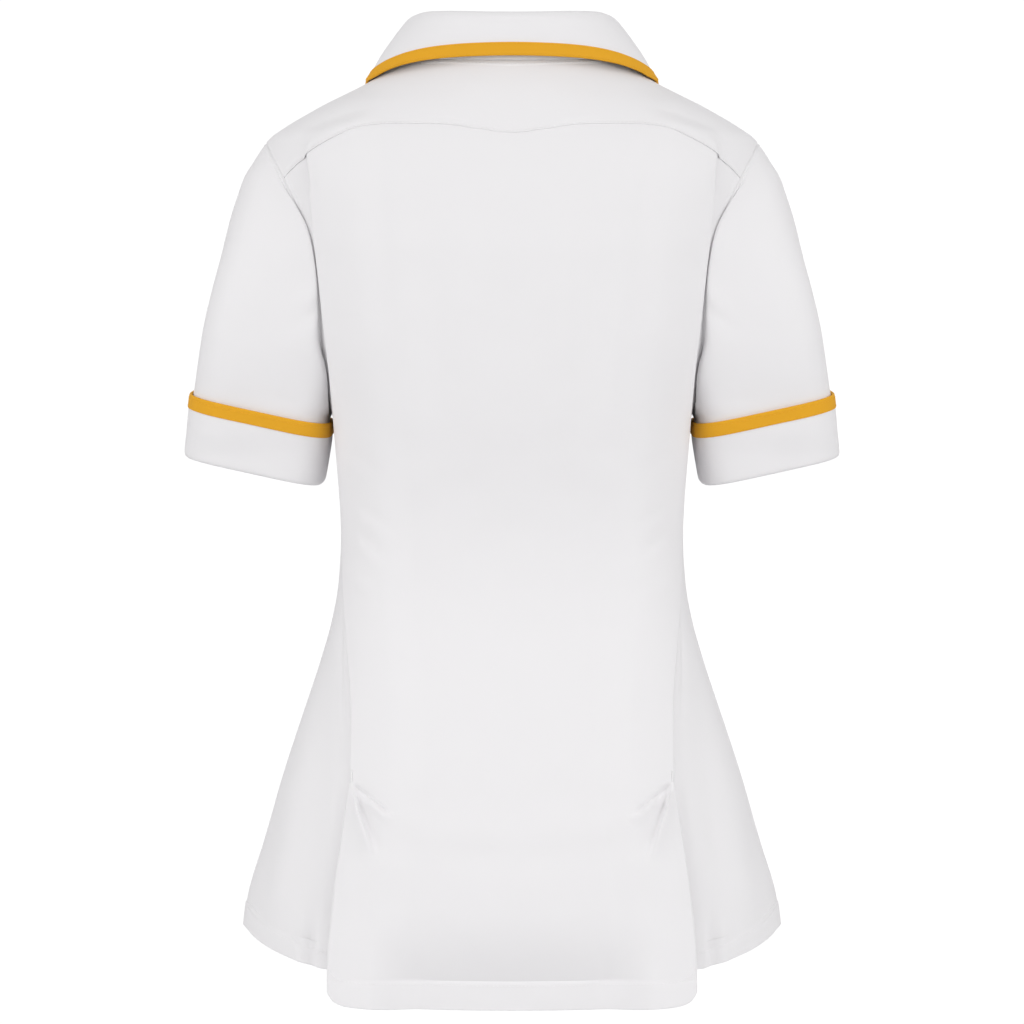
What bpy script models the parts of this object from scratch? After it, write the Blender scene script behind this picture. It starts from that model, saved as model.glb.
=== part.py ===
"""Medical tunic, filled out with no wearer: each cut piece is one closed wall of cloth.

Metres, +Z up.  The front faces -Y and the wearer's left side is +X.  The origin is on
the neck's axis, level with the seam at the nape.  Sizes below are in millimetres, and
a height is a distance above the nape seam, so most heights are negative.
"""

import math
from typing import NamedTuple

import bmesh
import bpy
import numpy as np

MM = 0.001

# Cloth and seams.
WALL = 1.3
COLLAR_WALL = 1.6
TAPE_WALL = 1.0
SEAM = 0.3
LAYER_STEP = 1.8          # middle of one pleat layer to the middle of the next

# Armhole, an upright ring on the body: its middle, half height and depths.
ARM_MIDDLE = -153.0
ARM_HALF_HEIGHT = 95.5
ARM_BACK_DEPTH = 65.0
ARM_FRONT_DEPTH = 60.0
ARM_FULLNESS = 2.3
SEAM_DEGREES = 0.25       # a seam's width, as a turn round the armhole
ARM_YOKE = (50, 42, 34, 25.5, 17, 8.5, 0, -8, -16)
ARM_BACK = (50, 56, 64, 74, 89, 105, 121, 139, 156, 180)
ARM_FRONT = (-16, -34, -52, -70, -88, -106, -124, -142, -161, -180)
ARM_RING = ARM_BACK[:0:-1] + ARM_YOKE + ARM_FRONT[1:]

# Yoke and neck.
YOKE_CORNER = 170.0
YOKE_ROWS = 8
FRONT_SEAM_ANGLE = 100.0
NECK_ANGLE_AT_CORNER = 64.0
SIDE_NECK_RISE = 8.0

# Pleat, vent and hems of the back.
PLEAT_DEPTH = 28.0
PLEAT_RISE_START = 58.0   # where the back begins to rise over its pleat, in from the fold
PLEAT_RISE_RUN = 28.0
VENT_TOP = -548.0
FLAP_FLARE = 7.0
FLARE_RUN = 160.0         # how far below the vents the flap reaches its full flare
BACK_SPREAD = (0.0, 0.11, 0.23, 0.36, 0.49, 0.62, 0.73)
SIDE_BACK_COLUMNS = 7
SIDE_HEM_OUT = 213.0      # the hem's distance from the centre line at the side seam
SIDE_SEAM_TURN = 0.0024   # half a side seam's width, as a turn round the body

# Fronts: the right one laps over the left.
FRONT_OVERLAP = 10.0
FRONT_LEVELS = (6.5, -22.0, -55.0, -88.0, -124.0, -165.0, -197.0, -224.0, -243.0, -256.0)
FRONT_COLUMNS = 8
FRONT_SEAM_ROWS = 15
OVERLAP_LIFT = 2.1
OVERLAP_EDGE = 60.0       # how far out from the centre line the lift begins
OVERLAP_RUN = 35.0
OVERLAP_TOP = 95.0        # how far below the nape seam the lift begins
OVERLAP_DROP = 30.0

# Sleeve ends: the hem's plane, its turned-back cuff and the tape on the cuff's top.
HEM_OUTER = -297.5
HEM_OUTER_X = 252.0
HEM_RISE_OUT = 0.2255
HEM_DROP_BACK = 0.11
HEM_MIDDLE_Y = -18.0
CUFF_DEEP = 49.0
TAPE_WIDE = 10.0
TAPE_GAP = 0.35
SLEEVE_SHARES = (0.1, 0.24, 0.42, 0.6, 0.8, 1.0)
SLEEVE_CLEAR = 2.5
SLEEVE_END = 1.9
SLEEVE_BACK_FULLNESS = 3.0
SLEEVE_FRONT_FULLNESS = 2.35
SLEEVE_HEAD_TURN = 28.0   # how far the sleeve's rings turn towards the armhole's corners


class Turn(NamedTuple):
    """A ring of the cuff: its height above the hem and how far outside the sleeve."""

    above: float
    lift: float


CUFF = (
    Turn(0.4, -0.7),
    Turn(0.0, 0.8),
    Turn(2.6, 1.9),
    Turn(CUFF_DEEP / 2, 2.4),
    Turn(CUFF_DEEP - TAPE_WIDE, 2.3),
    Turn(CUFF_DEEP, 2.2),
)

# Collar and lapels.
STAND_HIGH = 34.2
STAND_FOOT = 0.7          # how far the stand's foot is from the neck seam at the nape
STAND_FOOT_SIDE = 1.1     # and at the side of the neck
LOW_STAND = 0.035         # the stand's height at the gorge, as a share of the nape's
STAND_LEAN = 1.5
STAND_HOLLOW = 0.8
ROLL_RADIUS = 4.6         # of the roll over the stand at the nape
ROLL_RADIUS_FRONT = 1.3
LEAF_BULGE = 1.2
SIDE_BULGE = 1.1          # how much more the leaf bulges at the side of the neck
LEAF_BACK = 72.0
LEAF_SIDE = 112.5
LEAF_BACK_RISE = 3.1
LEAF_SIDE_DROP = 13.6
LEAF_DROP_POWER = 4.5     # how late on its way to the side the leaf's edge drops
LEAF_TURN = 0.985         # the edge's turn round the neck, as a share of the seam's
LYING_LIFT = 2.7

WHITE = (0.83, 0.82, 0.83, 1.0)
YELLOW = (0.78, 0.38, 0.01, 1.0)


class BodySlice(NamedTuple):
    """A level slice through the filled-out body, front and back of its side seams."""

    height: float
    half_width: float
    back_depth: float
    front_depth: float
    back_fullness: float
    front_fullness: float


class SleeveSlice(NamedTuple):
    """A level slice through the left sleeve."""

    height: float
    outer: float
    inner: float
    middle_y: float
    half_depth: float


class Edge(NamedTuple):
    """A point of a cut edge: how high it is and how far from the centre line."""

    height: float
    across: float


class Drop(NamedTuple):
    """A point of an edge that crosses the panel: how far out and how high it is."""

    across: float
    height: float


class Level(NamedTuple):
    """A row of the back: its height, and how much of the yoke's and hem's shape it takes."""

    height: float
    yoke_share: float
    hem_share: float


class StandPoint(NamedTuple):
    """A place on the back of the neck seam: its turn, and the stand's share of its height."""

    turn: float
    tall: float


class LeafPoint(NamedTuple):
    """A point of the collar leaf's outer edge in front of the shoulder."""

    across: float
    forward: float
    height: float


class RollPoint(NamedTuple):
    """A point of a lapel's roll: how far past the neck edge and how far off the body."""

    beyond: float
    lift: float


class Fold(NamedTuple):
    """A soft upright fold of the upper back, the same on both sides."""

    across: float
    half_width: float
    top: float
    bottom: float
    rise: float


BODY = (
    BodySlice(60, 8, 8, 8, 2.0, 2.0),
    BodySlice(30, 42, 28, 14, 2.0, 2.0),
    BodySlice(8, 80, 52, 30, 2.0, 2.0),
    BodySlice(0, 95, 58, 36, 2.0, 2.0),
    BodySlice(-10, 111.4, 64, 44, 2.0, 2.0),
    BodySlice(-20, 129.9, 70, 51, 2.0, 2.0),
    BodySlice(-32, 153.6, 76, 60, 2.1, 2.1),
    BodySlice(-45, 176.0, 82, 69, 2.15, 2.15),
    BodySlice(-57.5, 191.6, 87, 77, 2.2, 2.2),
    BodySlice(-75, 196.5, 93, 88, 2.3, 2.2),
    BodySlice(-100, 193.0, 98, 100, 2.4, 2.3),
    BodySlice(-125, 186.0, 101, 110, 2.4, 2.3),
    BodySlice(-150, 178.5, 103, 117, 2.4, 2.3),
    BodySlice(-200, 163.5, 102, 128, 2.5, 2.4),
    BodySlice(-248.5, 146.4, 98, 131, 2.6, 2.4),
    BodySlice(-273, 139.2, 94, 127, 2.7, 2.4),
    BodySlice(-304, 135.6, 87, 117, 2.8, 2.4),
    BodySlice(-335, 133.4, 81, 107, 2.9, 2.4),
    BodySlice(-367, 132.5, 78, 101, 3.0, 2.4),
    BodySlice(-398, 134.8, 79, 100, 3.0, 2.4),
    BodySlice(-429, 140.3, 85, 103, 2.8, 2.4),
    BodySlice(-460, 149.0, 95, 109, 2.6, 2.3),
    BodySlice(-507, 164.5, 112, 118, 2.4, 2.3),
    BodySlice(-554, 179.3, 126, 127, 2.3, 2.2),
    BodySlice(-601, 193.3, 134, 133, 2.2, 2.2),
    BodySlice(-648, 206.7, 138, 137, 2.1, 2.1),
    BodySlice(-715, 213.0, 140, 139, 2.1, 2.1),
)

SLEEVE = (
    SleeveSlice(-57.5, 192.6, 150, 0, 42),
    SleeveSlice(-63.6, 196.8, 150, 0, 48),
    SleeveSlice(-70, 200.5, 150, 0, 53),
    SleeveSlice(-82, 207.5, 150, 0, 59),
    SleeveSlice(-95, 211.9, 150, 0, 63),
    SleeveSlice(-117, 218.4, 149, 2, 65),
    SleeveSlice(-148, 225.5, 149, 3, 66),
    SleeveSlice(-179, 232.5, 149, 2, 66),
    SleeveSlice(-210, 239.4, 149, -1, 65),
    SleeveSlice(-248.5, 246.2, 137.0, -7, 62),
    SleeveSlice(-262, 248.6, 139.5, -10, 60.5),
    SleeveSlice(-272, 250.0, 144.4, -12, 59.5),
    SleeveSlice(-283, 251.0, 143.8, -14, 58.5),
    SleeveSlice(-300, 252.8, 146.2, -18, 57),
    SleeveSlice(-325, 254.0, 151.0, -22, 56),
)

YOKE_EDGE = (
    Drop(0, -58.6),
    Drop(16, -58.2),
    Drop(34, -53.2),
    Drop(52, -52.4),
    Drop(94, -51.4),
    Drop(104, -53.6),
    Drop(124, -57.2),
    Drop(136, -62.9),
    Drop(149, -68.2),
    Drop(155, -71.5),
    Drop(170, -88.0),
)

BACK_HEM = (
    Drop(0, -712.5),
    Drop(100, -711.5),
    Drop(124, -710.0),
    Drop(133, -707.0),
    Drop(138, -701.5),
)

SIDE_HEM = (
    Drop(100, -692),
    Drop(139.5, -690),
    Drop(157, -686),
    Drop(176, -681),
    Drop(196, -673),
    Drop(208, -665.5),
    Drop(213, -664.5),
)

PLEAT_EDGE = (
    Edge(-58, 156),
    Edge(-71, 155),
    Edge(-120, 152.5),
    Edge(-160, 148),
    Edge(-200, 144),
    Edge(-240, 140),
    Edge(-280, 137),
    Edge(-350, 132),
    Edge(-400, 130.5),
    Edge(-440, 127),
    Edge(-500, 122),
    Edge(-548, 121.5),
    Edge(-567, 124.4),
    Edge(-601, 129),
    Edge(-640, 134),
    Edge(-676, 137),
    Edge(-715, 138),
)

BACK_LEVELS = (
    Level(-58, 1.0, 0.0),
    Level(-70, 0.8, 0.0),
    Level(-88, 0.5, 0.0),
    Level(-111, 0.15, 0.0),
    Level(-141, 0.0, 0.0),
    Level(-172, 0.0, 0.0),
    Level(-202, 0.0, 0.0),
    Level(-227, 0.0, 0.0),
    Level(-243, 0.0, 0.0),
    Level(-258, 0.0, 0.0),
    Level(-284, 0.0, 0.0),
    Level(-312, 0.0, 0.0),
    Level(-340, 0.0, 0.0),
    Level(-368, 0.0, 0.0),
    Level(-396, 0.0, 0.0),
    Level(-424, 0.0, 0.0),
    Level(-454, 0.0, 0.0),
    Level(-484, 0.0, 0.0),
    Level(-516, 0.0, 0.0),
    Level(-548, 0.0, 0.0),
    Level(-580, 0.0, 0.1),
    Level(-612, 0.0, 0.25),
    Level(-644, 0.0, 0.5),
    Level(-672, 0.0, 0.75),
    Level(-695, 0.0, 0.95),
    Level(-712.5, 0.0, 1.0),
)

NECK_FRONT = (
    Edge(-165, -FRONT_OVERLAP),
    Edge(-150, -8.0),
    Edge(-135, 2.0),
    Edge(-124, 9.5),
    Edge(-110, 18.0),
    Edge(-80, 35.0),
    Edge(-60, 45.5),
    Edge(-38, 57.0),
    Edge(-20, 66.0),
    Edge(-8, 72.0),
    Edge(0, 75.8),
    Edge(6.5, 79.0),
)

COLLAR_BACK = (
    StandPoint(0, 1.0),
    StandPoint(12, 1.0),
    StandPoint(24, 1.0),
    StandPoint(36, 0.99),
    StandPoint(48, 0.965),
    StandPoint(60, 0.9),
    StandPoint(72, 0.83),
    StandPoint(84, 0.76),
    StandPoint(95, 0.68),
)
COLLAR_FRONT_HEIGHTS = (1.0, -8.0, -18.0, -28.0, -38.0)
COLLAR_LEAF_FRONT = (
    LeafPoint(112.5, -4.0, -9.5),
    LeafPoint(115.0, -22.0, -16.5),
    LeafPoint(116.0, -36.0, -25.5),
    LeafPoint(116.0, -48.0, -36.0),
    LeafPoint(114.5, -57.0, -47.0),
    LeafPoint(111.0, -65.0, -59.0),
)

LAPEL_ROLL_TOP = -39.5
LAPEL_ROLL_BOTTOM = -124.0
LAPEL_ROWS = 8
LAPEL_PUFF = 1.2
LAPEL_OUTER = (
    Drop(14, -129),
    Drop(36, -123),
    Drop(60, -112),
    Drop(80, -97),
    Drop(97, -78),
)

LAPEL_ROLL = (
    RollPoint(-1.2, 0.1),
    RollPoint(-1.0, 1.7),
    RollPoint(0.9, LYING_LIFT),
)

BACK_FOLDS = (
    Fold(34, 15, -75, -330, 2.2),
    Fold(89, 17, -70, -345, 3.0),
)


class Curve:
    """A smooth curve through points in rising order, with no overshoot between them."""

    def __init__(self, points):
        """Sort the points and work out a slope at each."""
        points = sorted((float(at), float(value)) for at, value in points)
        self.at = np.array([point[0] for point in points])
        self.value = np.array([point[1] for point in points])
        span = np.diff(self.at)
        rise = np.diff(self.value) / span
        self.slope = np.zeros(len(points))
        self.slope[0] = rise[0]
        self.slope[-1] = rise[-1]
        for index in range(1, len(points) - 1):
            before = rise[index - 1]
            after = rise[index]
            if before * after > 0:
                wide = 2 * span[index] + span[index - 1]
                thin = span[index] + 2 * span[index - 1]
                self.slope[index] = (wide + thin) / (wide / before + thin / after)

    def __call__(self, at):
        """Return the curve's value, held level past its ends."""
        at = min(max(at, self.at[0]), self.at[-1])
        index = min(int(np.searchsorted(self.at, at, side="right")) - 1, len(self.at) - 2)
        span = self.at[index + 1] - self.at[index]
        share = (at - self.at[index]) / span
        start = self.value[index] * (1 + 2 * share) * (1 - share) ** 2
        start += self.slope[index] * span * share * (1 - share) ** 2
        end = self.value[index + 1] * share ** 2 * (3 - 2 * share)
        end -= self.slope[index + 1] * span * share ** 2 * (1 - share)
        return start + end


def column_curves(table):
    """Return one curve for each column after the height of a table of slices."""
    width = len(table[0])
    return [Curve((row[0], row[column]) for row in table) for column in range(1, width)]


BODY_CURVES = column_curves(BODY)
SLEEVE_CURVES = column_curves(SLEEVE)
YOKE_CURVE = Curve(YOKE_EDGE)
BACK_HEM_CURVE = Curve(BACK_HEM)
SIDE_HEM_CURVE = Curve(SIDE_HEM)
PLEAT_CURVE = Curve(PLEAT_EDGE)
NECK_FRONT_CURVE = Curve(NECK_FRONT)
LAPEL_OUTER_CURVE = Curve(LAPEL_OUTER)


def ease(share):
    """Return a share eased in and out, clamped between 0 and 1."""
    share = min(max(share, 0.0), 1.0)
    return share * share * (3 - 2 * share)


def unit(vector):
    """Return a vector at length 1."""
    return vector / np.linalg.norm(vector)


def ring_point(angle, fullness):
    """Return the sine and cosine sides of a rounded square of half width 1."""
    sine = math.sin(angle)
    cosine = math.cos(angle)
    reach = (abs(sine) ** fullness + abs(cosine) ** fullness) ** (1 / fullness)
    return sine / reach, cosine / reach


def back_fold(across, height):
    """Return how far the soft folds push the upper back out."""
    rise = 0.0
    for fold in BACK_FOLDS:
        near = math.exp(-((abs(across) - fold.across) / fold.half_width) ** 2)
        share = (height - fold.bottom) / (fold.top - fold.bottom)
        if 0 < share < 1:
            rise += fold.rise * near * math.sin(math.pi * share)
    return rise


def body_point(angle, height):
    """Return a point in the middle of the cloth: angle 0 is the centre back."""
    half_width, back, front, back_fullness, front_fullness = (
        curve(height) for curve in BODY_CURVES)
    if math.cos(angle) >= 0:
        sine, cosine = ring_point(angle, back_fullness)
        depth = back + back_fold(half_width * sine, height)
    else:
        sine, cosine = ring_point(angle, front_fullness)
        depth = front
    return np.array((half_width * sine, depth * cosine, height))


def body_normal(angle, height):
    """Return the direction straight out of the body's surface."""
    around = body_point(angle + 0.004, height) - body_point(angle - 0.004, height)
    upward = body_point(angle, height + 0.4) - body_point(angle, height - 0.4)
    return unit(np.cross(upward, around))


def body_at(angle, height, lift=0.0):
    """Return a point that lies a given lift outside the body's surface."""
    point = body_point(angle, height)
    if lift:
        point = point + lift * body_normal(angle, height)
    return point


def back_angle(across, height, lift=0.0):
    """Return the angle at which the lifted back is a given distance from the centre."""
    low = 0.0
    high = math.pi / 2
    for _ in range(40):
        middle = (low + high) / 2
        if body_at(middle, height, lift)[0] < across:
            low = middle
        else:
            high = middle
    return (low + high) / 2


def front_angle(across, height):
    """Return the angle of a point of the front, from its signed distance."""
    half_width = BODY_CURVES[0](height)
    fullness = BODY_CURVES[4](height)
    sine = min(abs(across) / half_width, 1.0)
    cosine = (1 - sine ** fullness) ** (1 / fullness)
    return math.pi - math.atan2(math.copysign(sine, across), cosine)


def armhole(degrees):
    """Return the body angle and height of a point of the armhole, 0 at its top."""
    depth, rise = ring_point(math.radians(degrees), ARM_FULLNESS)
    height = ARM_MIDDLE + ARM_HALF_HEIGHT * rise
    back, front, back_fullness, front_fullness = (
        curve(height) for curve in BODY_CURVES[1:])
    if degrees >= 0:
        cosine = ARM_BACK_DEPTH * abs(depth) / back
        sine = (1 - cosine ** back_fullness) ** (1 / back_fullness)
        return math.atan2(sine, cosine), height
    cosine = ARM_FRONT_DEPTH * abs(depth) / front
    sine = (1 - cosine ** front_fullness) ** (1 / front_fullness)
    return math.pi - math.atan2(sine, cosine), height


def neck_height(angle):
    """Return the height of the neck seam between the nape and the shoulder seam."""
    return SIDE_NECK_RISE * math.sin(min(angle, math.pi / 2)) ** 2


def mixed(first, second, share):
    """Return a place between two (angle, height) pairs."""
    return tuple(a + (b - a) * share for a, b in zip(first, second))


def back_row_height(level, across):
    """Return how high a row of the back is, a given distance from the centre."""
    height = level.height
    height += level.yoke_share * (YOKE_CURVE(across) - SEAM - BACK_LEVELS[0].height)
    height += level.hem_share * (BACK_HEM_CURVE(across) - BACK_LEVELS[-1].height)
    return height


def flap_flare(height):
    """Return how far the free flap swings out, below the tops of its vents."""
    return FLAP_FLARE * ease((VENT_TOP - height) / FLARE_RUN)


def white_cloth(name):
    """Return a plain white cloth material."""
    return plain_material(name, WHITE, 0.85)


def plain_material(name, colour, roughness):
    """Return a Principled material with one colour."""
    material = bpy.data.materials.new(name)
    material.use_nodes = True
    shader = material.node_tree.nodes["Principled BSDF"]
    shader.inputs["Base Color"].default_value = colour
    shader.inputs["Roughness"].default_value = roughness
    shader.inputs["Metallic"].default_value = 0.0
    return material


def cloth_piece(name, rows, material, wall=WALL, ring=False, folded=False, slanted=False):
    """Make one closed wall from rows of points in the middle of the cloth.

    A ring's last point of each row lies on its first, and the two are welded.  Cloth
    that is folded tight keeps its wall even round the fold.  A slanted grid is cut
    into triangles along its shorter diagonals, which keeps it smooth.
    """
    rows = np.array(rows) * MM
    if ring:
        rows[:, -1] = rows[:, 0]
    row_count, column_count = rows.shape[:2]
    mesh_data = bmesh.new()
    bmesh.ops.create_grid(mesh_data, x_segments=column_count - 1,
                          y_segments=row_count - 1, size=1.0)
    for vertex in mesh_data.verts:
        column = round((vertex.co.x + 1) / 2 * (column_count - 1))
        row = round((vertex.co.y + 1) / 2 * (row_count - 1))
        vertex.co = rows[row, column]
    if ring:
        bmesh.ops.remove_doubles(mesh_data, verts=mesh_data.verts, dist=0.00001)
    if slanted:
        bmesh.ops.triangulate(mesh_data, faces=mesh_data.faces, quad_method="SHORT_EDGE")
    mesh = bpy.data.meshes.new(name)
    mesh_data.to_mesh(mesh)
    mesh_data.free()
    mesh.materials.append(material)
    mesh.shade_smooth()
    piece = bpy.data.objects.new(name, mesh)
    solidify = piece.modifiers.new("wall", "SOLIDIFY")
    solidify.thickness = wall * MM
    solidify.offset = 0.0
    solidify.use_even_offset = folded
    solidify.use_quality_normals = True
    return piece


def mirrored(rows):
    """Return rows of points for the other side of the body."""
    return [[np.array((-x, y, z)) for x, y, z in row] for row in rows]


def both_halves(row):
    """Return a whole row from its left half, whose first point is on the centre."""
    other = [np.array((-x, y, z)) for x, y, z in row[:0:-1]]
    return other + list(row)


def back_lift(across, edge):
    """Return how far the back panel stands out, to leave room for its pleat."""
    start = edge - PLEAT_RISE_START
    return 2 * LAYER_STEP * ease((across - start) / PLEAT_RISE_RUN)


def pleat_places(level):
    """Return the places that all three layers of a pleat share, inner edge to fold."""
    edge = PLEAT_CURVE(level.height)
    places = []
    for back_from_edge in (PLEAT_DEPTH, PLEAT_DEPTH / 2, LAYER_STEP / 2):
        across = edge - back_from_edge
        height = back_row_height(level, across)
        lift = 2 * LAYER_STEP + flap_flare(height)
        places.append((back_angle(across, height, lift), height))
    return places


def back_half_row(level):
    """Return half a row of the back: centre, pleat fold, then the return under it."""
    edge = PLEAT_CURVE(level.height)
    row = []
    for spread in BACK_SPREAD:
        across = spread * edge
        height = back_row_height(level, across)
        lift = back_lift(across, edge) + flap_flare(height)
        row.append(body_at(back_angle(across, height, lift), height, lift))
    layers = pleat_places(level)
    fold_height = back_row_height(level, edge)
    fold_lift = 1.5 * LAYER_STEP + flap_flare(fold_height)
    row += [body_at(*place, 2 * LAYER_STEP + flap_flare(place[1])) for place in layers]
    row.append(body_at(back_angle(edge, fold_height, fold_lift), fold_height, fold_lift))
    row += [body_at(*place, LAYER_STEP + flap_flare(place[1])) for place in layers[::-1]]
    return row


def back_panel():
    """Make the wide back with its two pleats and the free flap below them."""
    rows = [both_halves(back_half_row(level)) for level in BACK_LEVELS]
    return cloth_piece("back_panel", rows, white_cloth("white_back"), folded=True)


def side_back_outer():
    """Return the outer edge of a side back: its armhole, then its side seam."""
    places = [armhole(degrees) for degrees in ARM_BACK[:-1]]
    places[0] = armhole(ARM_BACK[0] + SEAM_DEGREES)
    bottom = armhole(180)[1]
    seam_rows = len(BACK_LEVELS) - len(places)
    hem = SIDE_HEM_CURVE(SIDE_HEM_OUT)
    for index in range(seam_rows):
        share = index / (seam_rows - 1)
        places.append((math.pi / 2 - SIDE_SEAM_TURN, bottom + (hem - bottom) * share))
    return places


def side_back_rows():
    """Return the rows of the left side back, from under the pleat to the side seam."""
    rows = []
    for level, outer in zip(BACK_LEVELS, side_back_outer()):
        edge = PLEAT_CURVE(level.height)
        row = []
        for angle, height in pleat_places(level):
            across = body_point(angle, height)[0]
            height += level.hem_share * (SIDE_HEM_CURVE(across) - BACK_HEM_CURVE(across))
            row.append((angle, height))
        last = row[-1]
        for index in range(1, SIDE_BACK_COLUMNS + 1):
            share = index / SIDE_BACK_COLUMNS
            angle, height = mixed(last, outer, share)
            if level.hem_share > 0:
                across = body_point(angle, height)[0]
                straight = mixed((edge, SIDE_HEM_CURVE(edge)),
                                 (SIDE_HEM_OUT, SIDE_HEM_CURVE(SIDE_HEM_OUT)), share)[1]
                height += level.hem_share * (SIDE_HEM_CURVE(across) - straight)
            row.append((angle, height - level.yoke_share * SEAM))
        rows.append([body_at(angle, height) for angle, height in row])
    return rows


def yoke_half_columns():
    """Return the (lower, upper) ends of each column of the yoke's left half."""
    edge = PLEAT_CURVE(YOKE_CURVE(155))
    across_stops = [spread * edge for spread in BACK_SPREAD]
    across_stops += [edge - PLEAT_DEPTH, edge - PLEAT_DEPTH / 2, edge]
    columns = []
    for across in across_stops:
        height = YOKE_CURVE(across)
        lower = (back_angle(across, height), height)
        upper_angle = math.radians(NECK_ANGLE_AT_CORNER) * across / YOKE_CORNER
        columns.append((lower, (upper_angle, neck_height(upper_angle))))
    for index, degrees in enumerate(ARM_YOKE):
        share = index / (len(ARM_YOKE) - 1)
        upper_angle = NECK_ANGLE_AT_CORNER + (FRONT_SEAM_ANGLE - NECK_ANGLE_AT_CORNER) * share
        upper_angle = math.radians(upper_angle)
        upper_height = neck_height(upper_angle)
        if index == len(ARM_YOKE) - 1:
            upper_angle, upper_height = front_seam_ends()[1]
        columns.append((armhole(degrees), (upper_angle, upper_height)))
    return columns


def front_seam_ends():
    """Return the armhole end and the neck end of the shoulder seam."""
    height = NECK_FRONT[-1].height
    return armhole(ARM_FRONT[0]), (front_angle(NECK_FRONT[-1].across, height), height)


def yoke():
    """Make the yoke, from its shaped lower edge over the shoulders to the front."""
    columns = yoke_half_columns()
    rows = []
    for index in range(YOKE_ROWS + 1):
        share = index / YOKE_ROWS
        places = [mixed(lower, upper, share) for lower, upper in columns]
        rows.append(both_halves([body_at(*place) for place in places]))
    return cloth_piece("yoke", rows, white_cloth("white_yoke"), slanted=True)


def front_outer():
    """Return the outer edge of a front: its armhole, then its side seam."""
    places = [armhole(degrees) for degrees in ARM_FRONT[:-1]]
    bottom = armhole(180)[1]
    hem = SIDE_HEM_CURVE(SIDE_HEM_OUT)
    for index in range(FRONT_SEAM_ROWS):
        share = index / (FRONT_SEAM_ROWS - 1)
        places.append((math.pi / 2 + SIDE_SEAM_TURN, bottom + (hem - bottom) * share))
    return places


def front_inner(count):
    """Return the inner edge of a front: its neck edge, then its front edge."""
    heights = list(FRONT_LEVELS)
    rest = count - len(heights)
    for index in range(1, rest + 1):
        step = (SIDE_HEM_CURVE(100) - FRONT_LEVELS[-1]) / rest
        heights.append(FRONT_LEVELS[-1] + step * index)
    return [(front_angle(NECK_FRONT_CURVE(height), height), height) for height in heights]


def overlap_lift(across, height):
    """Return how far the overlapping front stands off, the same for what lies on it."""
    lift = OVERLAP_LIFT * ease((OVERLAP_EDGE - across) / OVERLAP_RUN)
    return lift * ease((-height - OVERLAP_TOP) / OVERLAP_DROP)


def front_rows(side, over):
    """Return the rows of a front; the one that laps over is lifted near its edge."""
    outer = front_outer()
    inner = front_inner(len(outer))
    rows = []
    for index, (start, end) in enumerate(zip(outer, inner)):
        row = []
        for column in range(FRONT_COLUMNS + 1):
            angle, height = mixed(start, end, column / FRONT_COLUMNS)
            if index == 0:
                angle += 1.4 * SEAM / BODY_CURVES[2](height)
            point = body_point(angle, height)
            if index == len(outer) - 1:
                height = SIDE_HEM_CURVE(abs(point[0]))
            point = body_at(angle, height, over * overlap_lift(abs(point[0]), height))
            row.append(np.array((side * point[0], point[1], point[2])))
        rows.append(row)
    return rows


def sleeve_point(angle, height, lift=0.0):
    """Return a point of the left sleeve: angle 0 is its outer side, 90 degrees its back."""
    def place(at_angle, at_height):
        outer, inner, middle_y, half_depth = (curve(at_height) for curve in SLEEVE_CURVES)
        behind = math.sin(at_angle) >= 0
        fullness = SLEEVE_BACK_FULLNESS if behind else SLEEVE_FRONT_FULLNESS
        sine, cosine = ring_point(at_angle, fullness)
        half_width = (outer - inner) / 2
        middle_x = (outer + inner) / 2
        return np.array((middle_x + half_width * cosine,
                         middle_y + half_depth * sine, at_height))

    point = place(angle, height)
    if lift:
        around = place(angle + 0.01, height) - place(angle - 0.01, height)
        upward = place(angle, height + 0.5) - place(angle, height - 0.5)
        point = point + lift * unit(np.cross(around, upward))
    return point


def sleeve_hem_height(angle, above):
    """Return the height of the sleeve's hem plane, or a distance above it."""
    height = HEM_OUTER
    for _ in range(4):
        x, y, _ = sleeve_point(angle, height)
        height = HEM_OUTER + HEM_RISE_OUT * (x - HEM_OUTER_X)
        height -= HEM_DROP_BACK * (y - HEM_MIDDLE_Y)
        height += above
    return height


def armhole_frame(degrees):
    """Return an armhole point, the way into the hole along the cloth, and out of it."""
    angle, height = armhole(degrees)
    point = body_point(angle, height)
    following = body_point(*armhole(degrees + 1 if degrees >= 0 else degrees - 1))
    along = unit(following - point)
    outward = body_normal(angle, height)
    inward = unit(np.cross(along, outward))
    side = point - np.array((150.0, 0.0, ARM_MIDDLE))
    if np.dot(inward, side) > 0:
        inward = -inward
    return point, inward, outward


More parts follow.
